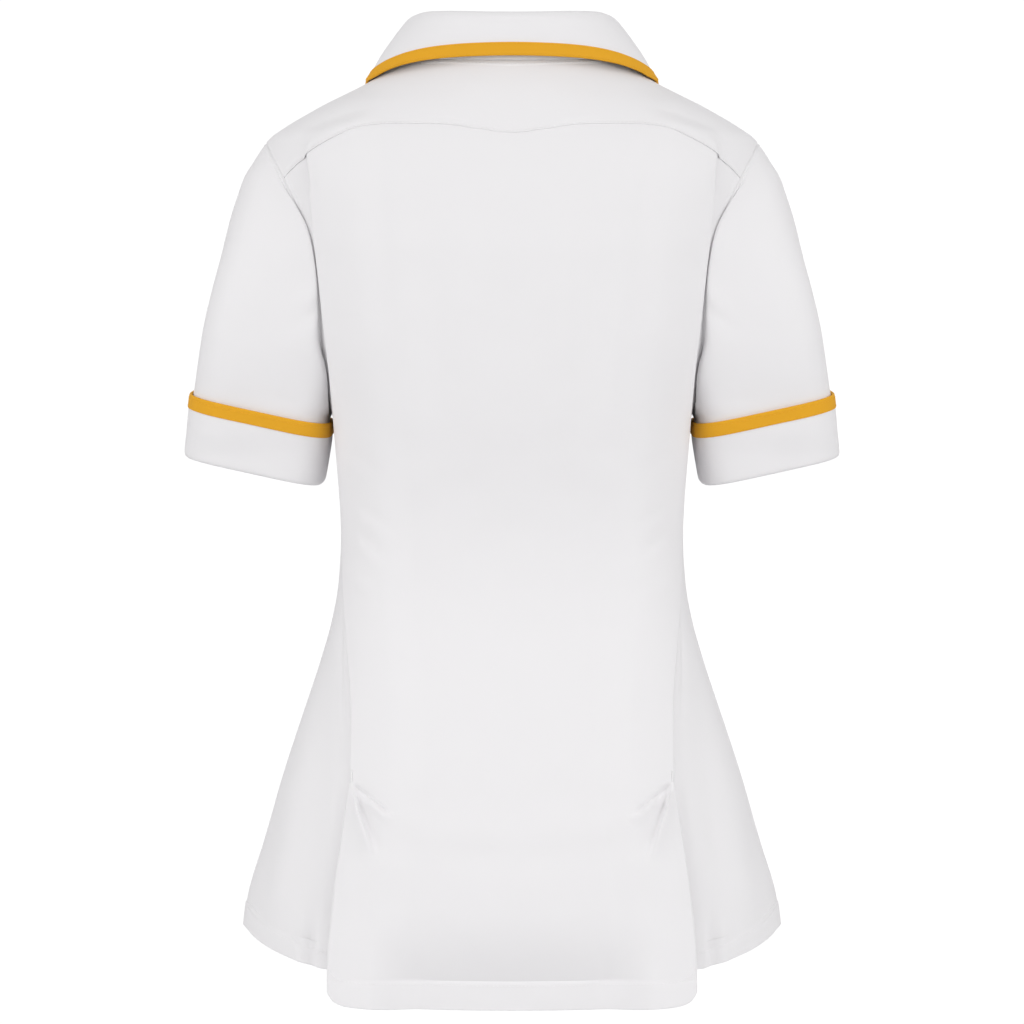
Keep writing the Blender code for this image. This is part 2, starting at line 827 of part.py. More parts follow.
def sleeve_rows():
    """Return the rings of the left sleeve, from the armhole to the hem."""
    starts = []
    first = []
    second = []
    for degrees in ARM_RING:
        point, inward, outward = armhole_frame(degrees)
        turn = math.radians(degrees + SLEEVE_HEAD_TURN * math.sin(math.radians(degrees)))
        starts.append((turn, point[2]))
        turned = ease((abs(degrees) - 40.0) / 90.0)
        first.append(point + (0.4 + 0.6 * turned) * inward + 0.1 * turned * outward)
        second.append(point + (3.0 - 1.6 * turned) * inward + (0.6 + 1.3 * turned) * outward)
    rows = [first, second]
    for share in SLEEVE_SHARES:
        row = []
        for start, (turn, height), degrees in zip(second, starts, ARM_RING):
            target = math.radians(degrees)
            end = sleeve_hem_height(target, CUFF_DEEP)
            angle = turn + (target - turn) * share
            level = height + (end - height) * share
            away = start - sleeve_point(turn, height)
            point = sleeve_point(angle, level) + away * (1 - ease(share * 1.3))
            if abs(degrees) > 100:
                point = pushed_out(point, SLEEVE_CLEAR)
            row.append(point)
        rows.append(row)
    for above in (CUFF_DEEP - TAPE_WIDE, CUFF_DEEP / 2, SLEEVE_END):
        rings = [math.radians(degrees) for degrees in ARM_RING]
        rows.append([sleeve_point(angle, sleeve_hem_height(angle, above)) for angle in rings])
    return rows


def cuff_rows():
    """Return the rings of the left cuff, from its turned lower edge to its top."""
    rows = []
    for above, lift in CUFF:
        row = []
        for degrees in ARM_RING:
            angle = math.radians(degrees)
            row.append(sleeve_point(angle, sleeve_hem_height(angle, above), lift))
        rows.append(row)
    return rows


def cuff_tape_rows():
    """Return the rings of the tape, which are the cuff's own points moved out."""
    away = WALL / 2 + TAPE_GAP + TAPE_WALL / 2
    rows = []
    for above, lift in CUFF[-2:]:
        row = []
        for degrees in ARM_RING:
            angle = math.radians(degrees)
            height = sleeve_hem_height(angle, above)
            row.append(sleeve_point(angle, height, lift + away))
        rows.append(row)
    return rows


def clearance(point):
    """Return how far a point is outside the body, and the way out."""
    def reach(place):
        half_width, back, front, back_fullness, front_fullness = (
            curve(place[2]) for curve in BODY_CURVES)
        if place[1] >= 0:
            depth, fullness = back, back_fullness
        else:
            depth, fullness = front, front_fullness
        total = (abs(place[0]) / half_width) ** fullness
        total += (abs(place[1]) / depth) ** fullness
        return total ** (1 / fullness) - 1

    here = reach(point)
    slope = np.array([reach(point + step) - here for step in 0.2 * np.eye(3)]) / 0.2
    size = np.linalg.norm(slope)
    return here / size, slope / size


def pushed_out(point, lift):
    """Return a point moved out until it is at least a given lift off the body."""
    for _ in range(4):
        gap, outward = clearance(point)
        if gap >= lift:
            break
        point = point + (lift - gap) * outward
    return point


def neck_stations():
    """Return places along the left neck seam, nape to gorge, with the stand's share there."""
    stations = []
    for place in COLLAR_BACK:
        angle = math.radians(place.turn)
        stations.append((angle, neck_height(angle), place.tall))
    side = COLLAR_BACK[-1].tall
    for index, height in enumerate(COLLAR_FRONT_HEIGHTS):
        angle = front_angle(NECK_FRONT_CURVE(height), height)
        share = (index + 1) / len(COLLAR_FRONT_HEIGHTS)
        stations.append((angle, height, side + (LOW_STAND - side) * share))
    return stations


def leaf_edge(index, angle):
    """Return the collar leaf's outer edge beside a place on the neck seam."""
    if index >= len(COLLAR_BACK) - 1:
        return np.array(COLLAR_LEAF_FRONT[index - len(COLLAR_BACK) + 1])
    turn = angle * LEAF_TURN
    sine = math.sin(turn)
    height = LEAF_BACK_RISE - LEAF_SIDE_DROP * abs(sine) ** LEAF_DROP_POWER
    return np.array((LEAF_SIDE * sine, LEAF_BACK * math.cos(turn), height))


def collar_half():
    """Return half of each collar column: stand, roll and leaf at each neck station."""
    stations = neck_stations()
    columns = []
    for index, (angle, height, tall) in enumerate(stations):
        seam = body_point(angle, height)
        after = stations[min(index + 1, len(stations) - 1)]
        before = stations[max(index - 1, 0)]
        along = unit(body_point(after[0], after[1]) - body_point(before[0], before[1]))
        if index == 0:
            along = np.array((1.0, 0.0, 0.0))
        outward = body_normal(angle, height)
        inward = unit(np.cross(along, outward))
        if inward[2] < 0:
            inward = -inward
        at_side = math.sin(min(angle, math.pi / 2)) ** 2
        foot = seam + inward * (STAND_FOOT + (STAND_FOOT_SIDE - STAND_FOOT) * at_side)
        level_out = unit(np.array((outward[0], outward[1], 0.0)))
        up = np.array((0.0, 0.0, 1.0))
        radius = ROLL_RADIUS_FRONT + (ROLL_RADIUS - ROLL_RADIUS_FRONT) * tall
        top = foot + up * STAND_HIGH * tall - level_out * STAND_LEAN * tall
        edge = leaf_edge(index, angle)
        shoulder = top + level_out * 2.0 * radius - up * 0.6 * radius
        tape_start = edge - unit(edge - shoulder) * TAPE_WIDE
        column = [foot,
                  (foot + top) / 2 - level_out * STAND_HOLLOW * tall,
                  top - up * 0.5 * radius,
                  top + level_out * 0.9 * radius + up * 0.35 * radius,
                  shoulder]
        for part in (0.33, 0.67, 1.0):
            bulge = level_out * LEAF_BULGE * (1 + SIDE_BULGE * at_side)
            bulge = bulge * math.sin(math.pi * part * 0.8)
            column.append(shoulder + (tape_start - shoulder) * part + bulge)
        column.append(edge)
        column[4:] = [pushed_out(point, LYING_LIFT) for point in column[4:]]
        columns.append(column)
    return columns


def whole_collar():
    """Return the collar's rows from the seam to the leaf's edge, across both sides."""
    columns = collar_half()
    rows = []
    for index in range(len(columns[0])):
        rows.append(both_halves([column[index] for column in columns]))
    return rows


def moved_out(rows, away):
    """Return rows of points moved along the cloth's own outward direction."""
    grid = np.array(rows)
    across = np.gradient(grid, axis=1)
    down = np.gradient(grid, axis=0)
    normal = np.cross(across, down)
    normal /= np.linalg.norm(normal, axis=2, keepdims=True)
    return grid + away * normal


def lapel_rows(side, over):
    """Return the rows of a lapel, from its roll at the neck edge out to its free edge."""
    rows = []
    for index in range(LAPEL_ROWS + 1):
        share = index / LAPEL_ROWS
        height = LAPEL_ROLL_TOP + (LAPEL_ROLL_BOTTOM - LAPEL_ROLL_TOP) * share
        edge = NECK_FRONT_CURVE(height)
        outer_x = LAPEL_OUTER[-1].across
        outer_x += (LAPEL_OUTER[0].across - outer_x) * share
        outer = (outer_x, LAPEL_OUTER_CURVE(outer_x))
        row = []
        for point in LAPEL_ROLL:
            across = edge + point.beyond
            lift = point.lift + over * overlap_lift(across, height)
            row.append(body_at(front_angle(across, height), height, lift))
        for part in (0.25, 0.5, 0.75, 1.0):
            across, level = mixed((edge + LAPEL_ROLL[-1].beyond, height), outer, part)
            lift = LYING_LIFT + LAPEL_PUFF * math.sin(math.pi * part)
            lift += over * overlap_lift(across, level)
            row.append(body_at(front_angle(across, level), level, lift))
        rows.append([np.array((side * x, y, z)) for x, y, z in row])
    return rows


def sleeve_pieces(side, suffix):
    """Make a sleeve, its turned-back cuff and the tape along the cuff's top."""
    pieces = []
    for name, rows, wall, colour in (
            ("sleeve", sleeve_rows(), WALL, WHITE),
            ("cuff", cuff_rows(), WALL, WHITE),
            ("cuff_tape", cuff_tape_rows(), TAPE_WALL, YELLOW)):
        rows = rows if side > 0 else mirrored(rows)
        material = plain_material(f"{name}_{suffix}_cloth", colour, 0.85)
        pieces.append(cloth_piece(f"{name}_{suffix}", rows, material, wall, ring=True))
    return pieces


def collar_pieces():
    """Make the collar and the tape along its leaf's edge."""
    rows = whole_collar()
    tape = moved_out(rows, COLLAR_WALL / 2 + TAPE_GAP + TAPE_WALL / 2)[-2:]
    yellow = plain_material("collar_tape_cloth", YELLOW, 0.8)
    return [cloth_piece("collar", rows, white_cloth("white_collar"), COLLAR_WALL),
            cloth_piece("collar_tape", tape, yellow, TAPE_WALL)]


def body_pieces():
    """Make the yoke, the back, the side backs, the fronts and the lapels."""
    side_back = side_back_rows()
    pieces = [back_panel(), yoke()]
    for side, suffix, over in ((1, "left", 0.0), (-1, "right", 1.0)):
        rows = [row[::-1] for row in side_back] if side > 0 else mirrored(side_back)
        pieces.append(cloth_piece(f"side_back_{suffix}", rows,
                                  white_cloth(f"white_side_back_{suffix}")))
        pieces.append(cloth_piece(f"front_{suffix}", front_rows(side, over),
                                  white_cloth(f"white_front_{suffix}")))
        pieces.append(cloth_piece(f"lapel_{suffix}", lapel_rows(side, over),
                                  white_cloth(f"white_lapel_{suffix}")))
    return pieces


def main():
    """Clear the scene and build the tunic under one empty."""
    for thing in list(bpy.data.objects):
        bpy.data.objects.remove(thing, do_unlink=True)
    collection = bpy.data.collections.new("medical_tunic")
    bpy.context.scene.collection.children.link(collection)
    holder = bpy.data.objects.new("neck_axis", None)
    collection.objects.link(holder)
    pieces = body_pieces() + collar_pieces()
    pieces += sleeve_pieces(1, "left") + sleeve_pieces(-1, "right")
    for piece in pieces:
        collection.objects.link(piece)
        piece.parent = holder


main()
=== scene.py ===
"""The looks of a medical tunic, filled out with no wearer.

Every cut piece is a thin shell of cloth on a form close to its solid's, with its
creases placed, its hems turned and its seams stitched.  Forms are worked out in
millimetres from the seam at the nape, and meshes are made in metres.
"""

import logging
import math
from dataclasses import dataclass, field
from enum import Enum
from typing import NamedTuple, Sequence

import bpy
import numpy as np
import numpy.typing as npt
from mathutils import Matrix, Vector


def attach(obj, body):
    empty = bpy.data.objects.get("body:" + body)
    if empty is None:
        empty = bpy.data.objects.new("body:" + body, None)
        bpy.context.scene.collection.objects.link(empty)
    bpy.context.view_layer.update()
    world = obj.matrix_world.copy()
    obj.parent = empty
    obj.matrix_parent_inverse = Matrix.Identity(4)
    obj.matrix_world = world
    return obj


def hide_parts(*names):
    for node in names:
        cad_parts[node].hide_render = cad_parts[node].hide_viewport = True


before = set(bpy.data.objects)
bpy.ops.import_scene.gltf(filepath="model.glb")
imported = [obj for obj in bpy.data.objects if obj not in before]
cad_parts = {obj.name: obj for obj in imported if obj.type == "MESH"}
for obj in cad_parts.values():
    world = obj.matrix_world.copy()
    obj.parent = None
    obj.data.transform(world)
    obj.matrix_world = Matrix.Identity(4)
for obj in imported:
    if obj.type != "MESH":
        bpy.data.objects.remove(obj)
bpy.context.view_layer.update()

MM = 0.001
LOG = logging.getLogger("medical_tunic")

Array = npt.NDArray[np.float64]
Colour = tuple[float, float, float]

# Sizes in millimetres that several parts share.
SEAM = 0.3  # the gap between two panels
LAYER_STEP = 1.8  # from one layer of a pleat to the next
TUCK = 0.62  # how far in a panel's top lies under the yoke
OVERLAP_LIFT = 2.1  # how far out the right front lies over the left
OVERLAP_TOP = 95.0  # how far below the nape the fronts begin to overlap
LYING_LIFT = 2.7  # the least distance of the collar's leaf from the body
HEM_TURN = 0.45  # the radius of a hem's lower edge
HEM_ROWS = 6  # the rows up the inside of a hem
PANEL_TOP = -58.0  # the top of the back panels in the middle
PANEL_HEM = -712.5  # their hem, before it is shaped
VENT_TOP = -548.0  # where the pleats end and the back hangs free
FLAP_FLARE = 7.0  # how far the free flap swings out
FLARE_RUN = 160.0  # how far below the vents it has done so


class Side(Enum):
    """A side of the wearer, as the sign of its X."""

    LEFT = 1
    RIGHT = -1


class FoldShape(Enum):
    """How a crease is shaped across its line."""

    RIDGE = "ridge"
    TROUGH = "trough"
    STEP = "step"
    PINCH = "pinch"


class Slot(Enum):
    """The material slots."""

    WHITE = "white_twill"
    YELLOW = "yellow_tape"


class BodySlice(NamedTuple):
    """A level slice through the filled-out body, front and back of its side seams."""

    height: float
    half_width: float
    back_depth: float
    front_depth: float
    back_fullness: float
    front_fullness: float


class SleeveSlice(NamedTuple):
    """A level slice through the left sleeve."""

    height: float
    outer: float
    inner: float
    middle_y: float
    half_depth: float


class LeafPoint(NamedTuple):
    """A point of the collar leaf's outer edge in front of the shoulder."""

    across: float
    forward: float
    height: float


BODY = (
    BodySlice(60, 8, 8, 8, 2.0, 2.0),
    BodySlice(30, 42, 28, 14, 2.0, 2.0),
    BodySlice(8, 80, 52, 30, 2.0, 2.0),
    BodySlice(0, 95, 58, 36, 2.0, 2.0),
    BodySlice(-10, 111.2, 64, 44, 2.0, 2.0),
    BodySlice(-20, 129.6, 70, 51, 2.0, 2.0),
    BodySlice(-32, 153.3, 76, 60, 2.1, 2.1),
    BodySlice(-45, 175.7, 82, 69, 2.15, 2.15),
    BodySlice(-57.5, 191.4, 87, 77, 2.2, 2.2),
    BodySlice(-75, 196.5, 93, 88, 2.3, 2.2),
    BodySlice(-100, 193.0, 98, 100, 2.4, 2.3),
    BodySlice(-125, 186.0, 101, 110, 2.4, 2.3),
    BodySlice(-150, 178.5, 103, 117, 2.4, 2.3),
    BodySlice(-200, 163.5, 102, 128, 2.5, 2.4),
    BodySlice(-248.5, 146.4, 98, 131, 2.6, 2.4),
    BodySlice(-273, 139.2, 94, 127, 2.7, 2.4),
    BodySlice(-304, 135.6, 87, 117, 2.8, 2.4),
    BodySlice(-335, 133.4, 81, 107, 2.9, 2.4),
    BodySlice(-367, 132.5, 78, 101, 3.0, 2.4),
    BodySlice(-398, 134.8, 79, 100, 3.0, 2.4),
    BodySlice(-429, 140.3, 85, 103, 2.8, 2.4),
    BodySlice(-460, 149.0, 95, 109, 2.6, 2.3),
    BodySlice(-507, 164.5, 112, 118, 2.4, 2.3),
    BodySlice(-554, 179.3, 126, 127, 2.3, 2.2),
    BodySlice(-601, 193.3, 134, 133, 2.2, 2.2),
    BodySlice(-648, 206.7, 138, 137, 2.1, 2.1),
    BodySlice(-715, 213.0, 140, 139, 2.1, 2.1),
)

SLEEVE = (
    SleeveSlice(-57.5, 192.6, 150, 0, 42),
    SleeveSlice(-63.6, 196.8, 150, 0, 48),
    SleeveSlice(-70, 200.5, 150, 0, 53),
    SleeveSlice(-82, 207.5, 150, 0, 59),
    SleeveSlice(-95, 211.9, 150, 0, 63),
    SleeveSlice(-117, 218.4, 149, 2, 65),
    SleeveSlice(-148, 225.5, 149, 3, 66),
    SleeveSlice(-179, 232.5, 149, 2, 66),
    SleeveSlice(-210, 239.4, 149, -1, 65),
    SleeveSlice(-248.5, 246.2, 137.0, -7, 62),
    SleeveSlice(-262, 248.6, 138.8, -10, 60.5),
    SleeveSlice(-272, 250.0, 143.3, -12, 59.5),
    SleeveSlice(-283, 251.0, 143.8, -14, 58.5),
    SleeveSlice(-300, 252.8, 146.2, -18, 57),
    SleeveSlice(-325, 254.0, 151.0, -22, 56),
)

YOKE_EDGE = ((0, -58.4), (9, -57.8), (18, -56.3), (30, -54.6), (42, -52.4), (56, -51.1),
             (80, -50.5), (97, -50.1), (109, -51.8), (121, -55.4), (133, -60.8), (145, -66.9),
             (152, -71.0), (158, -75.5), (170, -88.0))
BACK_HEM = ((0, -715.4), (80, -714.8), (104, -713.6), (124, -712.2), (132, -709.6), (136, -705.5),
            (138, -701.5))
SIDE_HEM = ((100, -692.5), (139.5, -692.2), (157, -688.0), (176, -682.2), (196, -673.2),
            (208, -665.5), (213, -664.5))
PLEAT_EDGE = ((-58, 156), (-71, 155), (-120, 152.5), (-160, 148), (-200, 144), (-240, 140),
              (-280, 137), (-350, 132), (-400, 130.5), (-440, 127), (-500, 122),
              (-548, 121.5), (-567, 124.4), (-601, 129), (-640, 134), (-676, 137),
              (-715, 138))
YOKE_SHARE = ((-58, 1.0), (-70, 0.8), (-88, 0.5), (-111, 0.15), (-141, 0.0), (-715, 0.0))
HEM_SHARE = ((-58, 0.0), (-548, 0.0), (-580, 0.1), (-612, 0.25), (-644, 0.5), (-672, 0.75),
             (-695, 0.95), (-712.5, 1.0))
NECK_FRONT = ((-165, -10.0), (-150, -8.0), (-135, 2.0), (-124, 9.5), (-110, 18.0),
              (-80, 35.0), (-60, 45.5), (-38, 57.0), (-20, 66.0), (-8, 72.0), (0, 75.8),
              (6.5, 79.0))
FRONT_LEVELS = (6.5, -22.0, -55.0, -88.0, -124.0, -165.0, -197.0, -224.0, -243.0, -256.0)
LAPEL_OUTER = ((14, -129), (36, -123), (60, -112), (80, -97), (97, -78))
COLLAR_BACK = ((0, 1.0), (12, 1.0), (24, 1.0), (36, 0.99), (48, 0.965), (60, 0.9), (72, 0.83),
               (84, 0.76), (95, 0.68))
COLLAR_FRONT_HEIGHTS = (1.0, -8.0, -18.0, -28.0, -38.0)
COLLAR_LEAF_FRONT = (
    LeafPoint(112.5, -4.0, -9.5),
    LeafPoint(115.0, -22.0, -16.5),
    LeafPoint(116.0, -36.0, -25.5),
    LeafPoint(116.0, -48.0, -36.0),
    LeafPoint(114.5, -57.0, -47.0),
    LeafPoint(111.0, -65.0, -59.0),
)


class Curve:
    """A smooth curve through points in rising order, with no overshoot between them."""

    def __init__(self, points: Sequence[tuple[float, float]]) -> None:
        """Sort the points and work out a slope at each.

        Args:
            points: Pairs of a place and the curve's value there.
        """
        ordered = sorted((float(at), float(value)) for at, value in points)
        self.at: Array = np.array([point[0] for point in ordered])
        self.value: Array = np.array([point[1] for point in ordered])
        span = np.diff(self.at)
        rise = np.diff(self.value) / span
        self.slope: Array = np.zeros(len(ordered))
        self.slope[0] = rise[0]
        self.slope[-1] = rise[-1]
        for index in range(1, len(ordered) - 1):
            before = rise[index - 1]
            after = rise[index]
            if before * after > 0:
                wide = 2 * span[index] + span[index - 1]
                thin = span[index] + 2 * span[index - 1]
                self.slope[index] = (wide + thin) / (wide / before + thin / after)

    def __call__(self, at: npt.ArrayLike) -> Array:
        """Return the curve's values, held level past its ends.

        Args:
            at: The places to read, of any shape.

        Returns:
            The values, in the shape of the places.
        """
        place = np.clip(np.asarray(at, dtype=float), self.at[0], self.at[-1])
        index = np.searchsorted(self.at, place, side="right") - 1
        index = np.clip(index, 0, len(self.at) - 2)
        span = self.at[index + 1] - self.at[index]
        share = (place - self.at[index]) / span
        start = self.value[index] * (1 + 2 * share) * (1 - share) ** 2
        start = start + self.slope[index] * span * share * (1 - share) ** 2
        end = self.value[index + 1] * share ** 2 * (3 - 2 * share)
        end = end - self.slope[index + 1] * span * share ** 2 * (1 - share)
        return start + end


def ease(share: npt.ArrayLike) -> Array:
    """Return shares eased in and out, clamped between 0 and 1."""
    share = np.clip(np.asarray(share, dtype=float), 0.0, 1.0)
    return share * share * (3 - 2 * share)


def unit(vectors: Array) -> Array:
    """Return vectors at length 1, along the last axis."""
    return vectors / np.maximum(np.linalg.norm(vectors, axis=-1, keepdims=True), 1e-12)


def bell(distance: npt.ArrayLike, width: float) -> Array:
    """Return 1 on a line, falling away smoothly on both sides of it."""
    return np.exp(-(distance / width) ** 2)


def share_at(level: Array, points: Sequence[tuple[float, float]]) -> Array:
    """Return shares at levels, from straight lines through points in falling order."""
    return np.interp(-level, [-point[0] for point in points], [point[1] for point in points])


def flare_at(height: Array) -> Array:
    """Return how far the free flap and the edge under it swing out below the vents."""
    return FLAP_FLARE * ease((VENT_TOP - height) / FLARE_RUN)


def overlap_at(side: Side, across: Array, height: Array) -> Array:
    """Return how far the overlap lifts what lies there, which is nothing on the left."""
    over = OVERLAP_LIFT if side is Side.RIGHT else 0.0
    return over * ease((60.0 - across) / 35.0) * ease((-height - OVERLAP_TOP) / 30.0)


def on_side(points: Array, side: Side) -> Array:
    """Return points of the left side, carried to a side of the wearer."""
    return points * np.array((side.value, 1.0, 1.0))


def both_halves(left: Array) -> Array:
    """Return a panel's rows from their left halves, which start at the centre line."""
    return np.concatenate([on_side(left[:, :0:-1], Side.RIGHT), left], axis=1)


def stacked(x: npt.ArrayLike, y: npt.ArrayLike, z: npt.ArrayLike) -> Array:
    """Return points from their three coordinates, which are spread to one shape."""
    return np.stack(np.broadcast_arrays(x, y, z), axis=-1).astype(float)


def ring_point(angle: npt.ArrayLike, fullness: npt.ArrayLike) -> tuple[Array, Array]:
    """Return the sine and cosine sides of a rounded square of half width 1.

    Args:
        angle: The angles, in radians.
        fullness: 2 for a round ring, and more for a squarer one.

    Returns:
        The two coordinates of the points.
    """
    sine = np.sin(angle)
    cosine = np.cos(angle)
    reach = (np.abs(sine) ** fullness + np.abs(cosine) ** fullness) ** (1 / np.asarray(fullness))
    return sine / reach, cosine / reach


def refined(grid: Array, rows: int, columns: int) -> Array:
    """Return a finer grid of points on a smooth surface through a coarse one.

    Args:
        grid: The coarse rows of points.
        rows: How many rows the fine grid has.
        columns: How many columns the fine grid has.

    Returns:
        The fine rows of points.
    """
    def along(points: Array, count: int) -> Array:
        """Return points spread over cubic spans between the first axis's points."""
        place = np.linspace(0, len(points) - 1, count)
        index = np.minimum(place.astype(int), len(points) - 2)
        share = (place - index)[:, None, None]
        first = points[np.maximum(index - 1, 0)]
        second = points[index]
        third = points[index + 1]
        fourth = points[np.minimum(index + 2, len(points) - 1)]
        curve = (2 * second + (third - first) * share
                 + (2 * first - 5 * second + 4 * third - fourth) * share ** 2
                 + (3 * second - first - 3 * third + fourth) * share ** 3)
        return curve / 2

    fine = along(grid, rows)
    return np.swapaxes(along(np.swapaxes(fine, 0, 1), columns), 0, 1)


def soft_noise(x: npt.ArrayLike, y: npt.ArrayLike, size: float, seed: int) -> Array:
    """Return a smooth uneven field between about -1 and 1.

    Args:
        x: Places across, in millimetres.
        y: Places along, in millimetres.
        size: The size of its humps, in millimetres.
        seed: Which field it is.

    Returns:
        The field's values.
    """
    chance = np.random.default_rng(seed)
    total = np.zeros(np.broadcast(x, y).shape)
    for _ in range(9):
        turn = chance.uniform(0, 2 * math.pi)
        pace = 2 * math.pi / (size * chance.uniform(1.3, 3.2))
        phase = chance.uniform(0, 2 * math.pi)
        total += np.sin(pace * (np.cos(turn) * x + np.sin(turn) * y) + phase)
    return total / 3.6


@dataclass(frozen=True)
class Crease:
    """A soft fold drawn on a panel from one point to another.

    The points are places on the panel: how far across it and how high, in
    millimetres.  The fold widens from its start to its end, swells and dies away.
    """

    start: tuple[float, float]
    end: tuple[float, float]
    rise: float
    start_width: float
    end_width: float
    bow: float = 0.0
    lean: float = 0.0
    shape: FoldShape = FoldShape.RIDGE
    swell: float = 0.3
    fade: float = 0.5

    def lift_at(self, across: Array, height: Array) -> Array:
        """Return how far the crease moves the cloth at each place.

        Args:
            across: The places' distances across the panel.
            height: The places' heights.

        Returns:
            The lift outwards, in millimetres.
        """
        run = np.array(self.end) - np.array(self.start)
        length = float(np.hypot(*run))
        along = run / length
        beside = np.array((-along[1], along[0]))
        from_x = across - self.start[0]
        from_y = height - self.start[1]
        share = (from_x * along[0] + from_y * along[1]) / length
        inside = np.clip(share, 0.0, 1.0)
        away = from_x * beside[0] + from_y * beside[1]
        away = away - self.bow * np.sin(math.pi * inside)
        width = self.start_width + (self.end_width - self.start_width) * inside
        width = width * (1 + self.lean * np.sign(away))
        strength = ease(share / self.swell) * ease((1 - share) / self.fade)
        near = away / width
        if self.shape is FoldShape.STEP:
            profile = 1.65 * near * np.exp(-near ** 2)
        elif self.shape is FoldShape.PINCH:
            profile = np.exp(0.15 - np.sqrt(near ** 2 + 0.0225))
        else:
            profile = np.exp(-near ** 2)
        if self.shape is FoldShape.TROUGH:
            profile = -profile
        return self.rise * strength * profile


def creased(across: Array, height: Array, creases: Sequence[Crease]) -> Array:
    """Return how far all of a panel's creases together move its cloth."""
    total = np.zeros(np.shape(across))
    for crease in creases:
        total += crease.lift_at(across, height)
    return total


@dataclass(frozen=True)
class BodyForm:
    """The filled-out form that the panels lie on, and the sleeve's form beside it."""

    arm_axis: float = 150.0
    arm_middle: float = -153.0
    arm_half_height: float = 95.5
    arm_back_depth: float = 65.0
    arm_front_depth: float = 60.0
    arm_fullness: float = 2.3
    side_neck_rise: float = 8.0
    hem_outer: float = -297.5
    hem_outer_x: float = 252.0
    hem_rise_out: float = 0.2255
    hem_drop_back: float = 0.11
    hem_middle_y: float = -18.0
    sleeve_back_fullness: float = 4.2
    sleeve_front_fullness: float = 2.35
    body: tuple[Curve, ...] = field(
        default_factory=lambda: tuple(
            Curve([(row[0], row[column]) for row in BODY]) for column in range(1, 6)))
    sleeve: tuple[Curve, ...] = field(
        default_factory=lambda: tuple(
            Curve([(row[0], row[column]) for row in SLEEVE]) for column in range(1, 5)))

    def point(self, angle: npt.ArrayLike, height: npt.ArrayLike) -> Array:
        """Return points in the middle of the cloth.

        Args:
            angle: Turns from the centre back towards the left side, in radians.
            height: Heights above the nape seam.

        Returns:
            The points.
        """
        angle, height = np.broadcast_arrays(angle, height)
        half_width, back, front, back_full, front_full = (c(height) for c in self.body)
        behind = np.cos(angle) >= 0
        sine, cosine = ring_point(angle, np.where(behind, back_full, front_full))
        depth = np.where(behind, back, front)
        return stacked(half_width * sine, depth * cosine, height)

    def normal(self, angle: npt.ArrayLike, height: npt.ArrayLike) -> Array:
        """Return the directions straight out of the form."""
        angle = np.asarray(angle, dtype=float)
        height = np.asarray(height, dtype=float)
        around = self.point(angle + 0.004, height) - self.point(angle - 0.004, height)
        upward = self.point(angle, height + 0.4) - self.point(angle, height - 0.4)
        return unit(np.cross(upward, around))

    def at(self, angle: npt.ArrayLike, height: npt.ArrayLike, lift: npt.ArrayLike = 0.0) -> Array:
        """Return points that lie a given lift outside the form."""
        lifted = np.asarray(lift, dtype=float)[..., None] * self.normal(angle, height)
        return self.point(angle, height) + lifted

    def back_angle(self, across: npt.ArrayLike, height: npt.ArrayLike,
                   lift: npt.ArrayLike = 0.0) -> Array:
        """Return the angles at which the lifted back is a given distance out.

        Args:
            across: Distances from the centre line, none below 0.
            height: Heights above the nape seam.
            lift: How far the cloth lies outside the form.

        Returns:
            The angles, in radians.
        """
        across, height, lift = np.broadcast_arrays(across, height, lift)
        low = np.zeros(across.shape)
        high = np.full(across.shape, math.pi / 2)
        for _ in range(24):
            middle = (low + high) / 2
            short = self.at(middle, height, lift)[..., 0] < across
            low = np.where(short, middle, low)
            high = np.where(short, high, middle)
        return (low + high) / 2

    def front_angle(self, across: npt.ArrayLike, height: npt.ArrayLike) -> Array:
        """Return the angles of points of the front, from their signed distances."""
        half_width = self.body[0](height)
        fullness = self.body[4](height)
        sine = np.minimum(np.abs(across) / half_width, 1.0)
        cosine = (1 - sine ** fullness) ** (1 / fullness)
        return math.pi - np.arctan2(np.copysign(sine, across), cosine)

    def armhole(self, degrees: npt.ArrayLike) -> tuple[Array, Array]:
        """Return the body angles and heights of points of the armhole.

        Args:
            degrees: Turns round the armhole: 0 at its top, and the back is positive.

        Returns:
            The angles and the heights.
        """
        degrees = np.asarray(degrees, dtype=float)
        depth, rise = ring_point(np.radians(degrees), self.arm_fullness)
        height = self.arm_middle + self.arm_half_height * rise
        back, front, back_full, front_full = (c(height) for c in self.body[1:])
        behind = degrees >= 0
        reach = np.where(behind, self.arm_back_depth / back, self.arm_front_depth / front)
        fullness = np.where(behind, back_full, front_full)
        cosine = reach * np.abs(depth)
        sine = (1 - cosine ** fullness) ** (1 / fullness)
        angle = np.arctan2(sine, cosine)
        return np.where(behind, angle, math.pi - angle), height

    def armhole_frame(self, degrees: npt.ArrayLike) -> tuple[Array, Array, Array]:
        """Return armhole points, the way into the hole along the cloth, and out of it."""
        degrees = np.asarray(degrees, dtype=float)
        angle, height = self.armhole(degrees)
        point = self.point(angle, height)
        following = self.point(*self.armhole(degrees + np.where(degrees >= 0, 1.0, -1.0)))
        outward = self.normal(angle, height)
        inward = unit(np.cross(unit(following - point), outward))
        side = point - np.array((self.arm_axis, 0.0, self.arm_middle))
        wrong = np.sum(inward * side, axis=-1, keepdims=True) > 0
        return point, np.where(wrong, -inward, inward), outward

    def neck_height(self, angle: npt.ArrayLike) -> Array:
        """Return the neck seam's heights between the nape and the shoulder seam."""
        return self.side_neck_rise * np.sin(np.minimum(angle, math.pi / 2)) ** 2

